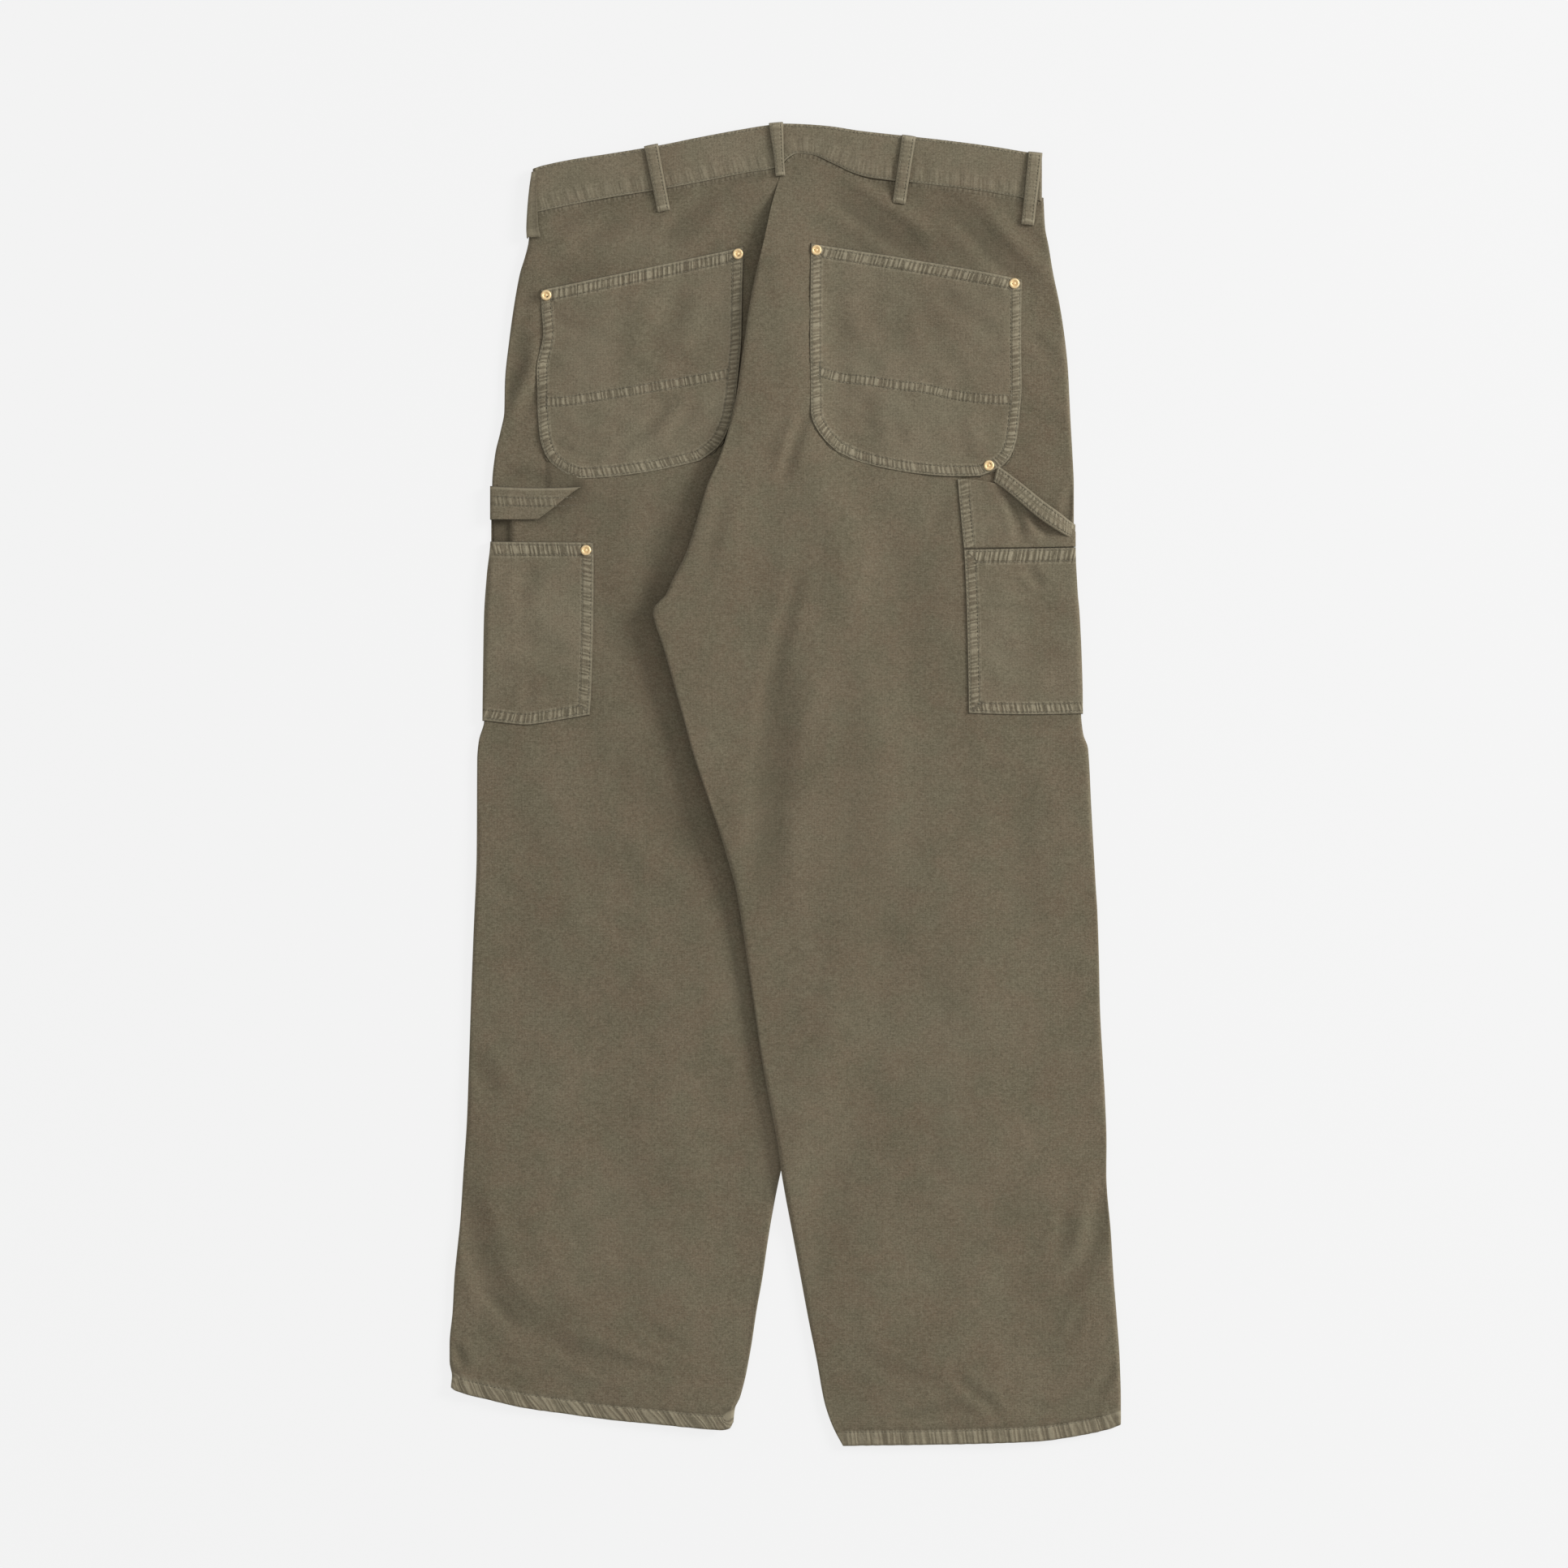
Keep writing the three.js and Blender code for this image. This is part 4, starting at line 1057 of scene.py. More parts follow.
def front_leg(half, name):
    """The hidden front: a plain wall on the floor, a little narrower than the back over it."""
    x, y = half_grid(half, front_waist_seam, FRONT_STEP)
    left, right = x[:, :1] + FRONT_INSET, x[:, -1:] - FRONT_INSET
    x = left + (x - x[:, :1]) / (x[:, -1:] - x[:, :1]) * (right - left)
    points = np.stack([x, y, CLOTH + half.base(x, y)], 2)
    cloth_piece(name, points, CLOTH - 0.05, canvas, floor=0.0)


# Waistband
def band_section():
    """Section of the band from the centre front round the back: x, height, and whether it is in front."""
    middle = (BAND_TOP + BAND_FLOOR) / 2
    radius = (BAND_TOP - BAND_FLOOR) / 2
    left, right = BAND_LEFT + radius, BAND_RIGHT - radius
    front_columns, back_columns = BAND_COLUMNS
    bends = np.linspace(0, math.pi, BEND_STEPS)[1:-1]
    half_way = math.pi / 2 - 0.001
    path = [(x, BAND_FLOOR, True) for x in np.linspace(-0.5, left, front_columns)]
    for turn in bends:
        x, z = left - radius * math.sin(turn), middle - radius * math.cos(turn)
        path.append((x, z, turn < half_way))
    path += [(x, BAND_TOP, False) for x in np.linspace(left, right, back_columns)]
    for turn in bends:
        x, z = right + radius * math.sin(turn), middle + radius * math.cos(turn)
        path.append((x, z, turn > half_way))
    path += [(x, BAND_FLOOR, True) for x in np.linspace(right, 0.5, front_columns)]
    return [np.array(column) for column in zip(*path)]


def build_waistband():
    x, z, front = band_section()
    top = np.where(front, front_waist_top(x), waist_top(x))
    bottom = np.where(front, front_waist_seam(x), waist_seam(x))
    shares = np.concatenate([[0, 0.012, 0.04], np.linspace(0.08, 0.94, 24), [0.975, 1]])[:, None]
    grid_x = np.broadcast_to(x, (len(shares), len(x)))
    grid_y = top - shares * (top - bottom)
    back = (~front) & (z > BAND_TOP - 0.01)
    upper = list(zip(x[back], top[back]))[::2]
    lower = list(zip(x[back], bottom[back]))[::2]
    seams = [
        seam_marks(upper, grid_x, grid_y, (0.2, 2.2), 7.5, 0.7, 0.3, 0.55),
        seam_marks(lower, grid_x, grid_y, (1.6, 11.0), 11.5, 5.1, 0.1, 0.26),
    ]
    height, marks = merge_marks(grid_x.shape, seams)
    above_seam = bell(seams[1]["away"] - 8.5, 6)
    gathers = pucker_wave(seams[1]["run"], 11.5, 5.1)
    from_top, from_bottom = shares * BAND_DEPTH, (1 - shares) * BAND_DEPTH
    height += 0.40 * gathers * above_seam
    height += 0.35 * np.sin(np.pi * np.clip(shares, 0, 1)) ** 0.5
    height += 0.22 * np.sin(grid_x * 0.21 + 1.3 * np.sin(grid_x * 0.05)) * bell(shares - 0.75, 0.25)
    height -= 0.9 * (np.exp(-from_top / 0.9) + np.exp(-from_bottom / 0.9))
    height += 0.30 * uneven(grid_x, grid_y * 0.5)
    marks["rope"] = marks["rope"] * back
    marks["wear_and_painted_light"] += 0.03 + 0.16 * np.exp(-from_top / 1.2) + 0.70 * bell(from_bottom - 0.9, 0.7)
    marks["wear_and_painted_light"] += 0.22 * np.clip(gathers, 0, 1) ** 2 * above_seam
    for join_x in BAND_JOINS:
        marks["wear_and_painted_light"] += 0.10 * bell(grid_x - join_x, 1.2)
    marks["wear_and_painted_light"] *= back
    points = np.stack([grid_x, grid_y, z + back * height], 2)
    cloth_piece("waist_strip", points, BAND_CLOTH - 0.15, canvas_patch, marks, floor=BAND_FLOOR - 0.4)
    surface = surface_of(points[:, back])
    for inset, line in ((-2.2, upper), (1.6, lower)):
        waist_stitching.row(offset_line(line, inset)[1:-1], surface, pitch=3.0)


back_leg(left_half, "left_back", 14.5, 0.9, 2.2)
back_leg(right_half, "right_back", 13.0, 0.12, 4.1)
front_leg(left_half, "left_front")
front_leg(right_half, "right_front")
build_waistband()


# Patches sewn on a leg, given by sections from the mouth to the bottom
LEFT_POCKET = table_of(
    "leftX leftY rightX rightY sag",
    (-201, 406.7, -34, 442.3, 0), (-201, 396, -34.3, 431, 0), (-199.4, 371, -35, 400, 0),
    (-204.6, 342, -35.5, 367, 0), (-204.3, 315, -38, 338, 0), (-202.5, 288, -42, 305, 0),
    (-197.7, 271, -50, 284, 1), (-190, 261, -58, 274, 2), (-180, 254.5, -64, 270, 2.6),
    (-169, 251, -70, 266, 3),
)
RIGHT_POCKET = table_of(
    "leftX leftY rightX rightY sag",
    (21, 444.7, 195, 416, -1), (20.5, 434, 194.8, 405.5, 0), (20, 365, 194.3, 357, 0),
    (20.3, 330, 194.7, 328, 0), (20.5, 305, 193, 305, 0), (24, 294, 191, 286, 0),
    (31, 284, 187, 272, 0.5), (41, 274, 181, 263.5, 1), (53, 267.5, 173, 258, 2),
    (69.7, 262.5, 160, 253.3, 3.4),
)
LEFT_CROSS = [
    [(-202, 318), (-185, 318), (-160, 321.5), (-133, 326), (-106, 330.5), (-71, 336.5), (-44, 342)],
    [(-201, 311), (-185, 311), (-160, 314.5), (-133, 319), (-106, 323.5), (-71, 329.5), (-46, 334.5)],
]
RIGHT_CROSS = [
    [(23, 344.5), (43, 338), (68, 335.5), (96, 331), (114, 329.5), (135, 324), (165, 320), (192, 320)],
    [(23, 337.5), (43, 331), (68, 328.5), (96, 324), (114, 322.5), (135, 317), (165, 313), (192, 313)],
]
LEFT_POCKET_CREASES = [
    crease(4.5, 1.3, (-92, 312), (-106, 298), (-124, 284), (-148, 268)),
    crease(6, -0.9, (-76, 330), (-90, 306), (-112, 280)),
    crease(10, 1.5, (-76, 408), (-90, 388), (-104, 366), (-118, 350)),
    crease(9, 0.9, (-60, 400), (-70, 372), (-66, 346)),
    crease(9, 0.3, (-196, 384), (-172, 378), (-150, 372)),
    crease(4, 0.9, (-192, 282), (-182, 276), (-172, 276)),
    crease(5, -0.8, (-186, 268), (-176, 264), (-164, 264)),
]
RIGHT_POCKET_CREASES = [
    crease(7, 0.9, (122, 420), (136, 400), (152, 384), (182, 366)),
    crease(10, 0.5, (84, 396), (92, 368), (104, 334)),
    crease(9, 0.45, (34, 396), (44, 366), (50, 336)),
    crease(6, 0.5, (80, 314), (90, 292), (100, 274)),
    crease(7, 0.4, (150, 322), (168, 310), (182, 296)),
    crease(8, 0.5, (60, 324), (72, 300), (70, 282)),
]
# Each patch's surface, for the rivets that are set in it
surfaces = {}


def middle_run(sections):
    """How far down a piece's middle line each of its sections lies."""
    middles = [(0.5 * (s["leftX"] + s["rightX"]), 0.5 * (s["leftY"] + s["rightY"])) for s in sections]
    falls = [math.dist(a, b) for a, b in zip(middles[:-1], middles[1:])]
    return np.concatenate([[0], np.cumsum(falls)])


def read_sections(sections, at, rows):
    """Every column of a table of sections, which lie at these distances, read at the grid's rows."""
    table = [{"at": a, **s} for a, s in zip(at, sections)]
    return {column: smooth_reader(table, "at", column)(rows)[:, None] for column in sections[0]}


def fine_ended(length, count):
    """Steps along a length, closer together at both ends."""
    middle = np.linspace(FIRST_STEP, length - FIRST_STEP, count)
    return np.concatenate([FINE_EDGE, middle, length - FINE_EDGE[::-1]])


def patch_grid(sections, step):
    at = middle_run(sections)
    width = max(math.hypot(s["rightX"] - s["leftX"], s["rightY"] - s["leftY"]) for s in sections)
    across = fine_ended(width, int(width / step)) / width
    read = read_sections(sections, at, fine_ended(at[-1], int(at[-1] / step)))
    x = read["leftX"] + across * (read["rightX"] - read["leftX"])
    y = read["leftY"] + across * (read["rightY"] - read["leftY"])
    return x, y - read["sag"] * 4 * across * (1 - across)


def outline_of(x, y):
    """The mouth of a patch, and the line down its left side, along its bottom and up its right side."""
    sides = list(zip(x[:, 0], y[:, 0])) + list(zip(x[-1, 1:], y[-1, 1:]))
    sides += list(zip(x[-2::-1, -1], y[-2::-1, -1]))
    return grid_row(x, y, 0), sides


def add_border(marks, creases, edge, x, y):
    """The worn crest just inside a patch's border, painted shade on its turned edge, and painted shade in
    its creases.
    """
    marks["wear_and_painted_light"] += CREST_WEAR * bell(edge - 1.4, 0.7)
    marks["shade"] += EDGE_SHADE * bell(edge, 0.65) + crease_shade(creases, x, y)


def back_pocket(half, name, sections, cross_rows, creases, seed):
    x, y = patch_grid(sections, PATCH_STEP)
    mouth, sides = (thin(line) for line in outline_of(x, y))
    seams = [
        seam_marks(mouth, x, y, MOUTH_ROWS, 6.8, seed, PUCKER_LEAN, 1.0),
        seam_marks(sides, x, y, SIDE_ROWS, 7.2, seed + 1.7, 0.25, 0.8),
        cross_seam(cross_rows, x, y, seed + 3.1),
    ]
    height, marks = merge_marks(x.shape, seams)
    from_mouth, from_side = seams[0]["away"], seams[1]["away"]
    edge = np.minimum(from_mouth, from_side)
    height += 0.28 * bell(from_mouth - 6.5, 3.0) + 0.28 * bell(from_side - 5.5, 2.4)
    for row in cross_rows:
        height -= 0.22 * bell(along_line(row, x, y)[0], 1.0)
    for away, rows in ((from_mouth, MOUTH_ROWS), (from_side, SIDE_ROWS)):
        for row in rows:
            height -= ROW_DENT * bell(away - row, 0.9)
    height += 0.8 * smoothstep((edge - 9) / 34) - 1.3 * np.exp(-edge / 0.35)
    height += 0.55 * uneven(x + 300, y, 2.2, 0.7) + crease_height(creases, x, y)
    add_border(marks, creases, edge, x, y)
    # Painted shade and painted light at the pockets' tone places
    add_tones(marks, POCKET_TONES, x, y)
    last_row = np.array(sorted(cross_rows[-1]))
    below = smoothstep((np.interp(x, last_row[:, 0], last_row[:, 1]) - y) / 12)
    marks["wear_and_painted_light"] += 0.06 * below * (0.5 + 0.5 * np.clip(uneven(x - 90, y, 2.0, 0.8), -1, 1))
    marks["wear_and_painted_light"] += 0.04 * (1 - smoothstep((edge - 9) / 4))
    points = np.stack([x, y, half.top(x, y) + GAP + PATCH + height], 2)
    cloth_piece(name, points, PATCH, canvas_patch, marks)
    surfaces[name] = surface_of(points)
    for inset in MOUTH_ROWS:
        pocket_stitching.row(offset_line(mouth, -inset)[1:-1], surfaces[name])
    for inset in SIDE_ROWS:
        pocket_stitching.row(offset_line(sides, inset)[1:-1], surfaces[name])
    for row in cross_rows:
        pocket_stitching.row(round_line(row), surfaces[name], pitch=3.0)


back_pocket(left_half, "left_back_pocket", LEFT_POCKET, LEFT_CROSS, LEFT_POCKET_CREASES, 0.4)
back_pocket(right_half, "right_back_pocket", RIGHT_POCKET, RIGHT_CROSS, RIGHT_POCKET_CREASES, 2.9)


# Pieces that turn round the outer edge of a leg
LEFT_TOOL = table_of(
    "edgeY innerX innerY sag peak",
    (200, -157.7, 199.5, 0, 0.59), (188, -157, 187, 0, 0.59), (137, -157.3, 137, 1, 0.59),
    (75, -159, 77, 5, 0.59), (52.7, -160.3, 57.3, 6.4, 0.59),
)
RIGHT_TOOL = table_of(
    "edgeY innerX innerY sag",
    (195.3, 146.3, 193.6, 0), (184, 147, 182, 0), (137, 148.7, 137, 0), (75, 150, 75, 0),
    (58.3, 150.3, 58.6, 1),
)
SIDE_PANEL = table_of(
    "edgeY innerX innerY sag",
    (208, 141, 251, -12), (203, 143, 229, -5), (195.8, 146.2, 194.2, 0),
)
LEFT_STRAP = table_of(
    "edgeY innerX innerY sag",
    (245.5, -168, 245, 1.2), (236, -180, 236, 0), (227, -191, 227, 0), (218, -203, 218, 0),
)


def edge_grid(half, sections, step, sign):
    """Plan points from a piece's inner side to the leg's outer edge. The last columns roll round it."""
    falls = [abs(a["edgeY"] - b["edgeY"]) for a, b in zip(sections[:-1], sections[1:])]
    at = np.concatenate([[0], np.cumsum(falls)])
    read = read_sections(sections, at, fine_ended(at[-1], int(at[-1] / step) + 2))
    edge = half.outer(read["edgeY"])
    reach = np.abs(edge - read["innerX"])
    width = float(reach.max())
    count = int((width - EDGE_STEPS[-1]) / step)
    start = FIRST_STEP / width
    share = np.concatenate([FINE_EDGE / width, np.linspace(start, 1, count + 1)[:-1]])
    inside = read["innerX"] + sign * share * (reach - EDGE_STEPS[-1])
    x = np.concatenate([inside, edge - sign * EDGE_STEPS[::-1]], 1)
    across = (x - read["innerX"]) / (edge - read["innerX"])
    bow = 4 * across * (1 - across)
    if "peak" in read:
        tent = np.minimum(across / read["peak"], (1 - across) / (1 - read["peak"]))
        bow = 1 - np.sqrt((1 - tent) ** 2 + 0.02) + 0.02
    y = read["innerY"] + across * (read["edgeY"] - read["innerY"]) - read["sag"] * bow
    return x, y


def edge_piece(half, name, sections, seam_lines, creases, puff=0.0, arch=0.0):
    """A patch that rolls round the outer edge. seam_lines: side, rows of sewing, spacing, seed, strength.

    puff lifts its middle, and arch lifts all of it, more towards the outer edge.
    """
    sign = 1 if half.is_right else -1
    x, y = edge_grid(half, sections, PATCH_STEP, sign)
    sides = {"mouth": grid_row(x, y, 0), "bottom": grid_row(x, y, -1), "inner": grid_row(x.T, y.T, 0)}
    seams, edge = [], np.full(x.shape, 99.0)
    for side, insets, spacing, seed, strength in seam_lines:
        seams.append(seam_marks(thin(sides[side]), x, y, insets, spacing, seed, PUCKER_LEAN, strength))
        edge = np.minimum(edge, seams[-1]["away"])
    height, marks = merge_marks(x.shape, seams)
    for (_, insets, *_), seam in zip(seam_lines, seams):
        for inset in insets:
            height -= 0.18 * bell(seam["away"] - inset, 0.9)
    height += arch * (0.8 + smoothstep((-170 - x) / 40))
    height += puff * smoothstep((edge - 8) / 26) * smoothstep(half.edge_distance(x, y) / ROLL)
    height += crease_height(creases, x, y) + 0.25 * uneven(x, y + 200, 0.6, 0.6)
    height -= 1.1 * np.exp(-edge / 0.35)
    z = half.top(x, y) + GAP + PATCH + height
    out = 1.45 * (1 - EDGE_STEPS[::-1] / EDGE_STEPS[-1]) ** 2
    x[:, -len(EDGE_STEPS):] += sign * out
    add_border(marks, creases, edge, x, y)
    marks["wear_and_painted_light"] += 0.04 * (1 - smoothstep((edge - 8) / 4))
    side_x, side_y, side_z = (values[:, -1:] for values in (x, y, z))
    x = np.concatenate([x, side_x + sign * 0.1, side_x - sign * 0.2], 1)
    y = np.concatenate([y, side_y, side_y], 1)
    z = np.concatenate([z, 0.5 * (LIP_END + side_z), np.full(side_z.shape, LIP_END)], 1)
    points = np.stack([x, y, z], 2)
    marks = padded(marks, (0, 0), (0, 2))
    if sign < 0:
        points = points[:, ::-1]
        marks = {mark: values[:, ::-1] for mark, values in marks.items()}
    cloth_piece(name, points, PATCH, canvas_patch, marks)
    surfaces[name] = surface_of(points)
    turns = {"mouth": -sign, "bottom": sign, "inner": sign}
    for side, insets, *_ in seam_lines:
        for inset in insets:
            line = offset_line(thin(sides[side]), turns[side] * inset)
            pocket_stitching.row(line[1:-1], surfaces[name])


def tool_pocket(half, name, sections, mouth_rows, seed, bottom_seed, bottom_strength, creases):
    seam_lines = [
        ("mouth", mouth_rows, 6.6, seed, 1.0),
        ("inner", (2.2, 9.5), 7.0, seed + 1.2, 0.8),
        ("bottom", (2.2, 9.0), 6.6, bottom_seed, bottom_strength),
    ]
    edge_piece(half, name, sections, seam_lines, creases, puff=0.5)


LEFT_TOOL_CREASES = [
    crease(7, 1.0, (-204, 182), (-212, 164), (-222, 146)),
    crease(10, 0.9, (-225, 130), (-200, 112), (-175, 110)),
    crease(5, 0.7, (-206, 88), (-212, 74), (-210, 62)),
]
RIGHT_TOOL_CREASES = [
    crease(3.5, 0.5, (150, 146), (176, 143), (206, 144), (236, 146)),
    crease(4.5, 1.1, (196, 182), (204, 172), (213, 160)),
    crease(10, 0.8, (165, 110), (195, 100), (225, 104)),
]
PANEL_CREASES = [
    crease(4.5, 1.6, (184, 240), (187, 228), (193, 209), (195, 197)),
    crease(6, 1.6, (204, 226), (212, 214), (222, 204)),
]
tool_pocket(left_half, "left_tool_pocket", LEFT_TOOL, (2.5, 11.0), 1.1, 3.9, 0.9, LEFT_TOOL_CREASES)
tool_pocket(right_half, "right_tool_pocket", RIGHT_TOOL, (2.0, 11.0), 6.1, 8.9, 1.0, RIGHT_TOOL_CREASES)
panel_seams = [("inner", (2.0, 9.0), 7.0, 4.4, 0.75)]
edge_piece(right_half, "right_side_panel", SIDE_PANEL, panel_seams, PANEL_CREASES)
strap_seams = [("mouth", (8.6, 15.3), 9.8, 9.4, 0.55)]
edge_piece(left_half, "left_hammer_loop", LEFT_STRAP, strap_seams, [], arch=1.0)


# Straps that follow a line of stations across the cloth
def strap_grid(stations):
    """Plan points and heights of a strap, with each point's share along and across it."""
    at = middle_run(stations)
    rows = np.linspace(0, at[-1], int(at[-1] / STRAP_STEP) + 2)
    across = np.concatenate([[0, 0.03], np.linspace(0.09, 0.91, 11), [0.97, 1]])
    read = read_sections(stations, at, rows)
    x = read["leftX"] + across * (read["rightX"] - read["leftX"])
    y = read["leftY"] + across * (read["rightY"] - read["leftY"])
    return x, y, read["z"] + 0 * x, rows[:, None] / at[-1], across[None, :]


def strap(name, stations, seed, tack_ends, stitching, ropy):
    """A narrow folded strap with a row of sewing near each side and bar tacks at its ends."""
    x, y, z, along, across = strap_grid(stations)
    width = math.dist((x[0, 0], y[0, 0]), (x[0, -1], y[0, -1]))
    length = math.dist((x[0, 0], y[0, 0]), (x[-1, 0], y[-1, 0]))
    side = np.minimum(across, 1 - across) * width
    run = along * length
    window = 1 - smoothstep((side - 3.0) / (3.0 + 4.0 * ropy))
    tack = sum(bell(run - end * length, 1.3) for end in tack_ends)
    z += 0.45 * np.sin(np.pi * across) ** 0.7 - 1.2 * np.exp(-side / 0.3)
    z += 0.16 * pucker_wave(run, 5.2, seed) * window + 0.35 * tack
    z -= 0.22 * bell(side - STRAP_ROW, 0.7)
    marks = {
        "rope": np.clip(ropy * window + 0.4 * tack, 0, 1),
        "run": run + 31.0 * seed,
        "lane": (side - STRAP_ROW) / 4.0,
        "wear_and_painted_light": 0.30 * bell(side - 0.7, 0.7) + 0.50 * np.clip(tack, 0, 1) + 0.18,
        # Painted shade along the strap's side edges
        "shade": 0.7 * bell(side, 0.25),
    }
    points = np.stack([x, y, z], 2)
    cloth_piece(name, points, PATCH, canvas_patch, marks)
    surface = surface_of(points)
    for share in (STRAP_ROW / width, 1 - STRAP_ROW / width):
        column = int(np.argmin(np.abs(across[0] - share)))
        stitching.row(grid_row(x.T, y.T, column)[1:-1], surface, pitch=2.9, length=2.2)


# The right hammer loop, from the pocket's corner to the outer edge, arched clear of the side panel
PANEL_TOP = PLATEAU + 2 * PATCH + 2 * GAP
RIGHT_STRAP = table_of(
    "leftX leftY rightX rightY z",
    (171, 249, 174, 263, PLATEAU + 1.0),
    (178, 244, 184, 255.5, PANEL_TOP + PATCH - 0.4),
    (186, 237.5, 196, 246, PANEL_TOP + PATCH + 1.2),
    (207, 219.5, 214, 231.5, PANEL_TOP + PATCH + 1.6),
    (222.5, 209, 224, 224.5, PANEL_TOP + PATCH + 0.9),
    (233, 203.5, 234, 217, PANEL_TOP - 1.2),
    (238.2, 202, 238.6, 214, PANEL_TOP - 4.4),
)
strap("right_hammer_loop", RIGHT_STRAP, 1.9, (0.02,), pocket_stitching, 0.8)

# Belt loops from top to end. on_band: the share that lies on the band. taper: how much they narrow.
BELT_LOOPS = table_of(
    "name top end on_band taper",
    ("back_left", (-110.3, 525.6), (-99.7, 471.2), 0.66, 0.06),
    ("centre", (-7.7, 544.0), (-3.9, 500), 1.2, 0.30),
    ("back_right", (101.7, 533.3), (93.3, 477.5), 0.68, 0.06),
    ("side_right", (205.5, 519.6), (199, 460), 0.66, 0.06),
)
LOOP_RISE = ((0, -1.0), (0.03, 0.2), (0.12, 0.9), (0.4, 1.5), (0.66, 1.2), (0.82, 0.3), (0.93, 0), (1, -0.3))


def belt_loop(loop, seed):
    top, end = np.array(loop["top"]), np.array(loop["end"])
    run_x, run_y = (end - top) / math.dist(top, end)
    half_width = np.array([-run_y, run_x]) * LOOP_WIDTH / 2
    stations = []
    for share, rise in LOOP_RISE:
        middle = top + share * (end - top)
        across = half_width * (1 - loop["taper"] * smoothstep(share * 1.3))
        ground = BAND_TOP if share < loop["on_band"] + 0.1 else PLATEAU + 0.4
        stations.append((*(middle - across), *(middle + across), ground + GAP + PATCH + rise))
    stations = table_of("leftX leftY rightX rightY z", *stations)
    strap("loop_" + loop["name"], stations, seed, (0.05, 0.94), waist_stitching, 0.32)


for number, loop in enumerate(BELT_LOOPS):
    belt_loop(loop, 0.8 + 1.9 * number)


def side_belt_loop():
    """The left side's belt loop, seen edge-on where the waistband folds round."""
    edges = table_of(
        "y fold back",
        (503.5, -208.4, -204.2), (490, -210.4, -204.0), (470, -212.2, -203.4),
        (456, -212.8, -202.2), (450, -212.4, -200.6),
    )
    top, length, radius = 503.5, 54, 2.2
    y = np.linspace(top, top - length, 34)[:, None]
    turn = np.linspace(0, 1, 15)[None, :]
    fold, back = (smooth_reader(edges, "y", column)(y) for column in ("fold", "back"))
    angle = np.clip((turn - 0.25) / 0.45, 0, 1) * math.pi / 2
    side_z = 0.6 + (BAND_TOP + 0.6 - radius) * np.clip(turn / 0.25, 0, 1)
    last = np.clip((turn - 0.70) / 0.30, 0, 1)
    along = (top - y) / length
    tack = bell(along - 0.05, 0.05) + bell(along - 0.93, 0.05)
    x = fold + radius * (1 - np.cos(angle)) + last * (back - fold - radius)
    z = side_z + radius * np.sin(angle) + 0.3 * last + 0.25 * tack * (turn > 0.4)
    marks = {
        "rope": 0.12,
        "run": along * length + 7 * turn + 60,
        "lane": 0.5,
        "wear_and_painted_light": 0.06 + 0.4 * tack + 0.35 * bell(turn - 0.55, 0.08),
        # Painted shade where the loop turns back down to the band
        "shade": 0.5 * smoothstep((turn - 0.8) / 0.2),
    }
    cloth_piece("loop_side_left", np.stack([x, y + 0 * x, z], 2), 0.9, canvas_patch, marks)


def plain_shield():
    """The shield behind the front opening, hidden between the layers."""
    y = np.linspace(455, 300, 40)[:, None]
    left = -62 + 0.3 * np.clip(340 - y, 0, None)
    x = left + np.linspace(0, 1, 12) * (-31 - left)
    z = 2.7 + 0.05 * np.sin(x * 0.5)
    cloth_piece("opening_shield", np.stack([x, y + 0 * x, z], 2), 0.9, canvas)


side_belt_loop()
plain_shield()


# Metal
RIVETS = table_of(
    "node patch x y",
    ("rivet_left_pocket_outer", "left_back_pocket", -196.3, 402),
    ("rivet_left_pocket_inner", "left_back_pocket", -38.8, 436),
    ("rivet_right_pocket_inner", "right_back_pocket", 25.6, 438.7),
    ("rivet_right_pocket_outer", "right_back_pocket", 188.3, 412),
    ("rivet_right_pocket_corner", "right_back_pocket", 167.3, 262.3),
    ("rivet_left_tool_pocket", "left_tool_pocket", -163.7, 192.7),
)
# Radius and height, from the middle of the cap to its foot
RIVET_PROFILE = [
    (0, 0.84), (0.5, 0.86), (0.95, 0.70), (1.2, 0.28), (1.45, 0.06), (1.9, 0.05), (2.25, 0.42),
    (2.55, 0.92), (2.9, 1.10), (3.4, 1.08), (3.85, 0.88), (4.15, 0.50), (4.3, 0.1), (4.3, -0.4),
]


def turned_mesh(name, profile, place, segments=40):
    """A round piece from its profile, closed underneath."""
    turns = [2 * math.pi * k / segments for k in range(segments)]
    vertices = [(0, 0, profile[0][1])]
    for radius, height in profile[1:]:
        vertices += [(radius * math.cos(turn), radius * math.sin(turn), height) for turn in turns]
    faces = []
    for k in range(segments):
        faces.append((0, 1 + k, 1 + (k + 1) % segments))
        for ring in range(len(profile) - 2):
            a = 1 + ring * segments + k
            b = 1 + ring * segments + (k + 1) % segments
            faces.append((a, a + segments, b + segments, b))
    last = 1 + (len(profile) - 2) * segments
    faces.append(tuple(last + k for k in reversed(range(segments))))
    mesh = bpy.data.meshes.new(name)
    mesh.from_pydata([tuple((np.array(v) + place) * MM) for v in vertices], [], faces)
    mesh.shade_smooth()
    return mesh


def rivet_cap(node, patch, x, y):
    height = float(surfaces[patch]([x], [y])[0]) + 0.1
    name = node + "_cap"
    piece = add_object(name, turned_mesh(name, RIVET_PROFILE, (x, y, height)), brass)
    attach(piece, "root")
    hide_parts(node)


for rivet in RIVETS:
    rivet_cap(**rivet)
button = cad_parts["waist_button"].data
button.materials.clear()
button.materials.append(brass)

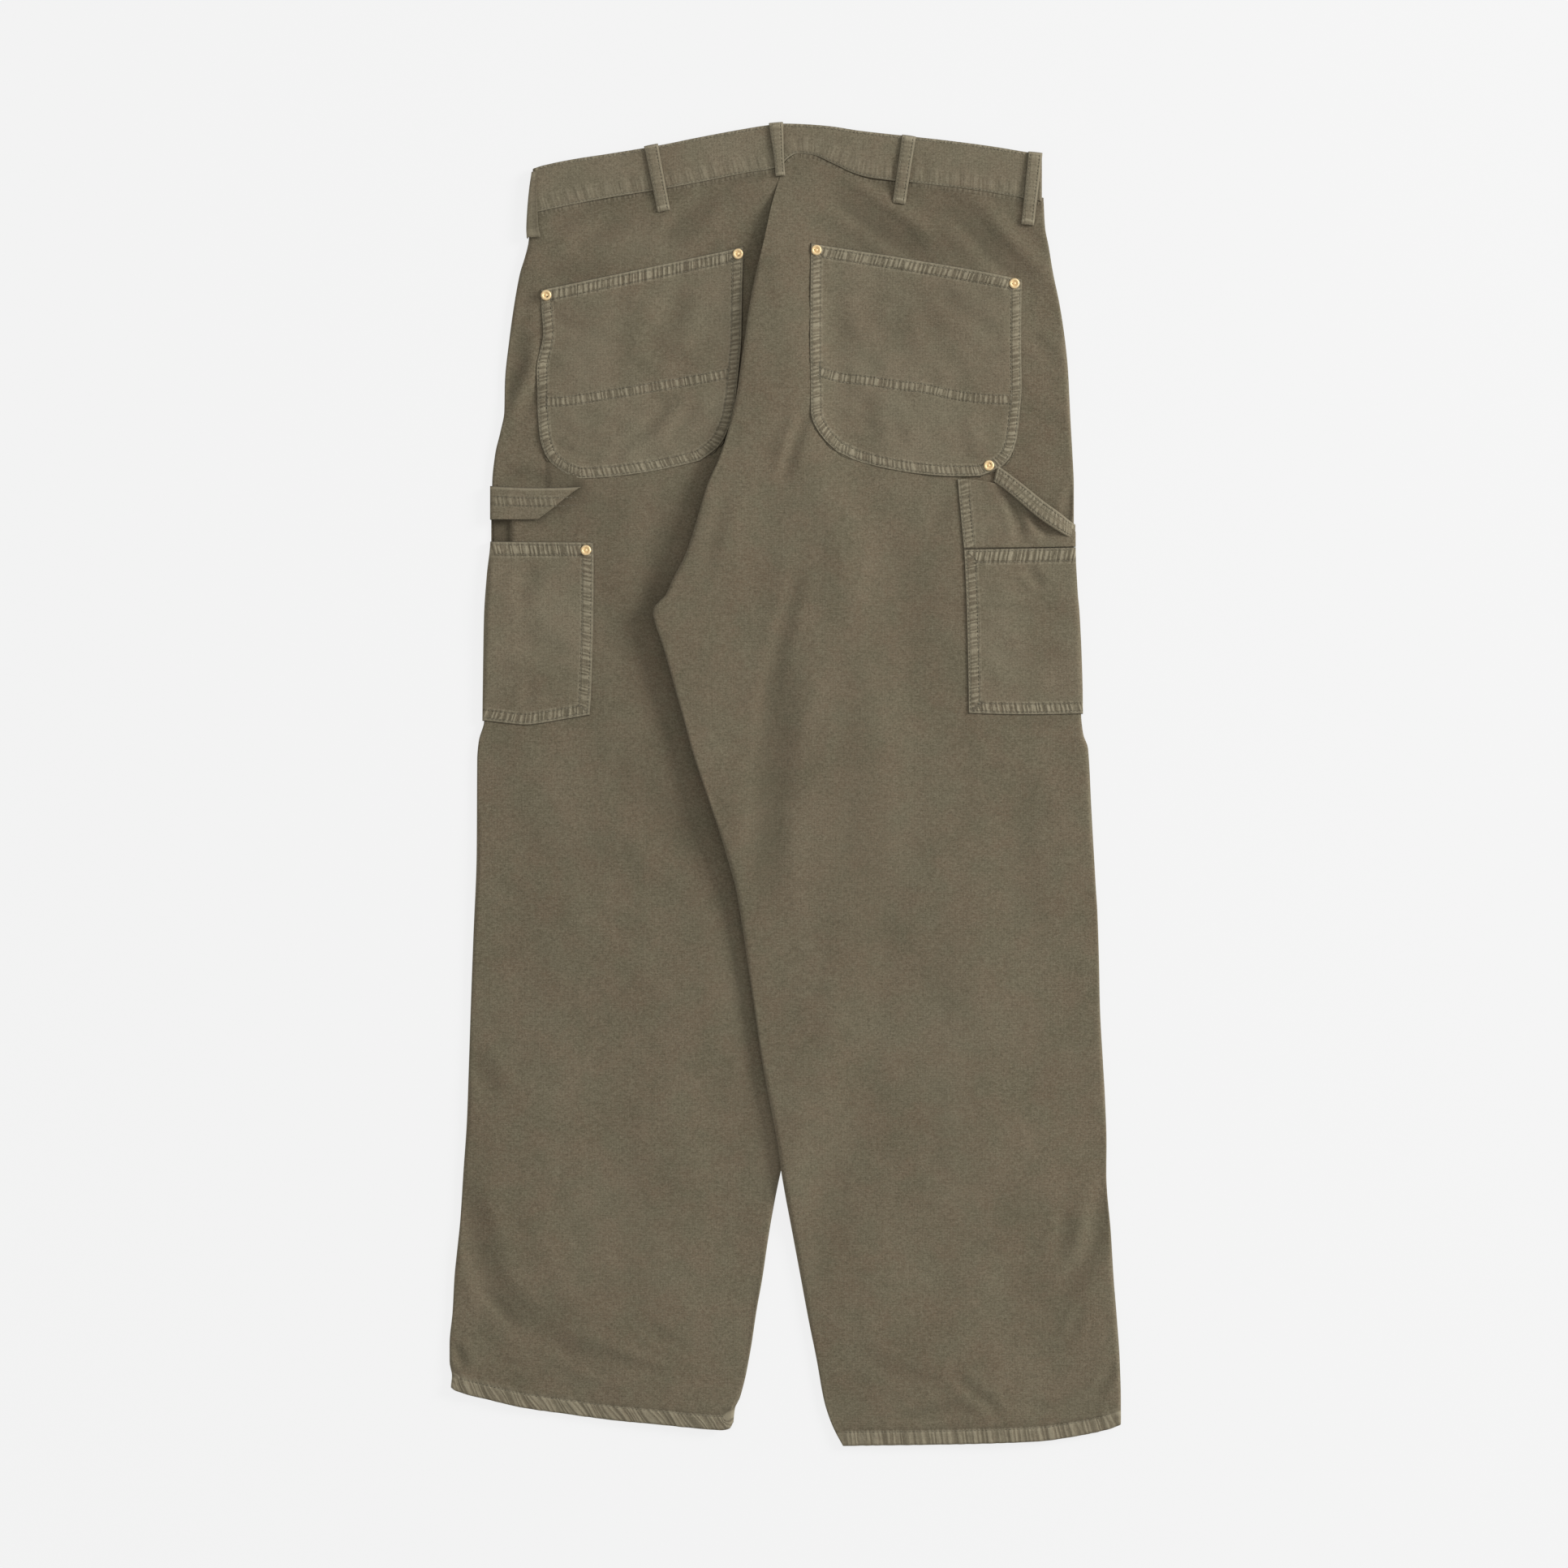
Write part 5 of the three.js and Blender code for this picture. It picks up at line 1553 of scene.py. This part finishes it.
pocket_stitching.build("pocket_stitches")
waist_stitching.build("waist_stitches")
leg_stitching.build("hem_stitches")


# Floor, light and camera, in metres
FLOOR_REACH = 6.0
FLOOR_Z = -0.0002
FLOOR_GLOW = 0.81
SKY_STRENGTH = 0.58
KEY_PLACE = (4.6, 1.8, 2.3)
KEY_SIZE = 1.9
KEY_POWER = 250
CAMERA_PLACE = (-0.001, 0.0007, 3.047)
CAMERA_LENS = 85


def build_floor():
    corners = [(x, y, FLOOR_Z) for x, y in ((-1, -1), (1, -1), (1, 1), (-1, 1))]
    mesh = bpy.data.meshes.new("floor")
    mesh.from_pydata([(x * FLOOR_REACH, y * FLOOR_REACH, z) for x, y, z in corners], [], [(0, 1, 2, 3)])
    look = {"Roughness": 0.9, "Specular_IOR_Level": 0.0, "Emission_Strength": FLOOR_GLOW}
    colours = {"Base_Color": (0.10, 0.10, 0.10, 1), "Emission_Color": (1, 1, 1, 1)}
    material, *_ = new_material("floor_paper", **look, **colours)
    add_object("floor", mesh, material)


def build_light():
    world = bpy.data.worlds.new("studio")
    world.use_nodes = True
    background = world.node_tree.nodes["Background"]
    background.inputs["Color"].default_value = (1, 1, 1, 1)
    background.inputs["Strength"].default_value = SKY_STRENGTH
    bpy.context.scene.world = world
    data = bpy.data.lights.new("key", "AREA")
    data.shape = "DISK"
    data.size = KEY_SIZE
    data.energy = KEY_POWER
    light = bpy.data.objects.new("key", data)
    light.location = KEY_PLACE
    light.rotation_mode = "QUATERNION"
    light.rotation_quaternion = Vector(KEY_PLACE).to_track_quat("Z", "Y")
    bpy.context.collection.objects.link(light)


def build_camera():
    """Straight down, over the middle of the part."""
    data = bpy.data.cameras.new("camera")
    data.sensor_width = 36
    data.lens = CAMERA_LENS
    camera = bpy.data.objects.new("camera", data)
    camera.location = CAMERA_PLACE
    bpy.context.collection.objects.link(camera)
    bpy.context.scene.camera = camera


build_floor()
build_light()
build_camera()
bpy.context.scene.view_settings.view_transform = "Standard"

bpy.context.view_layer.update()
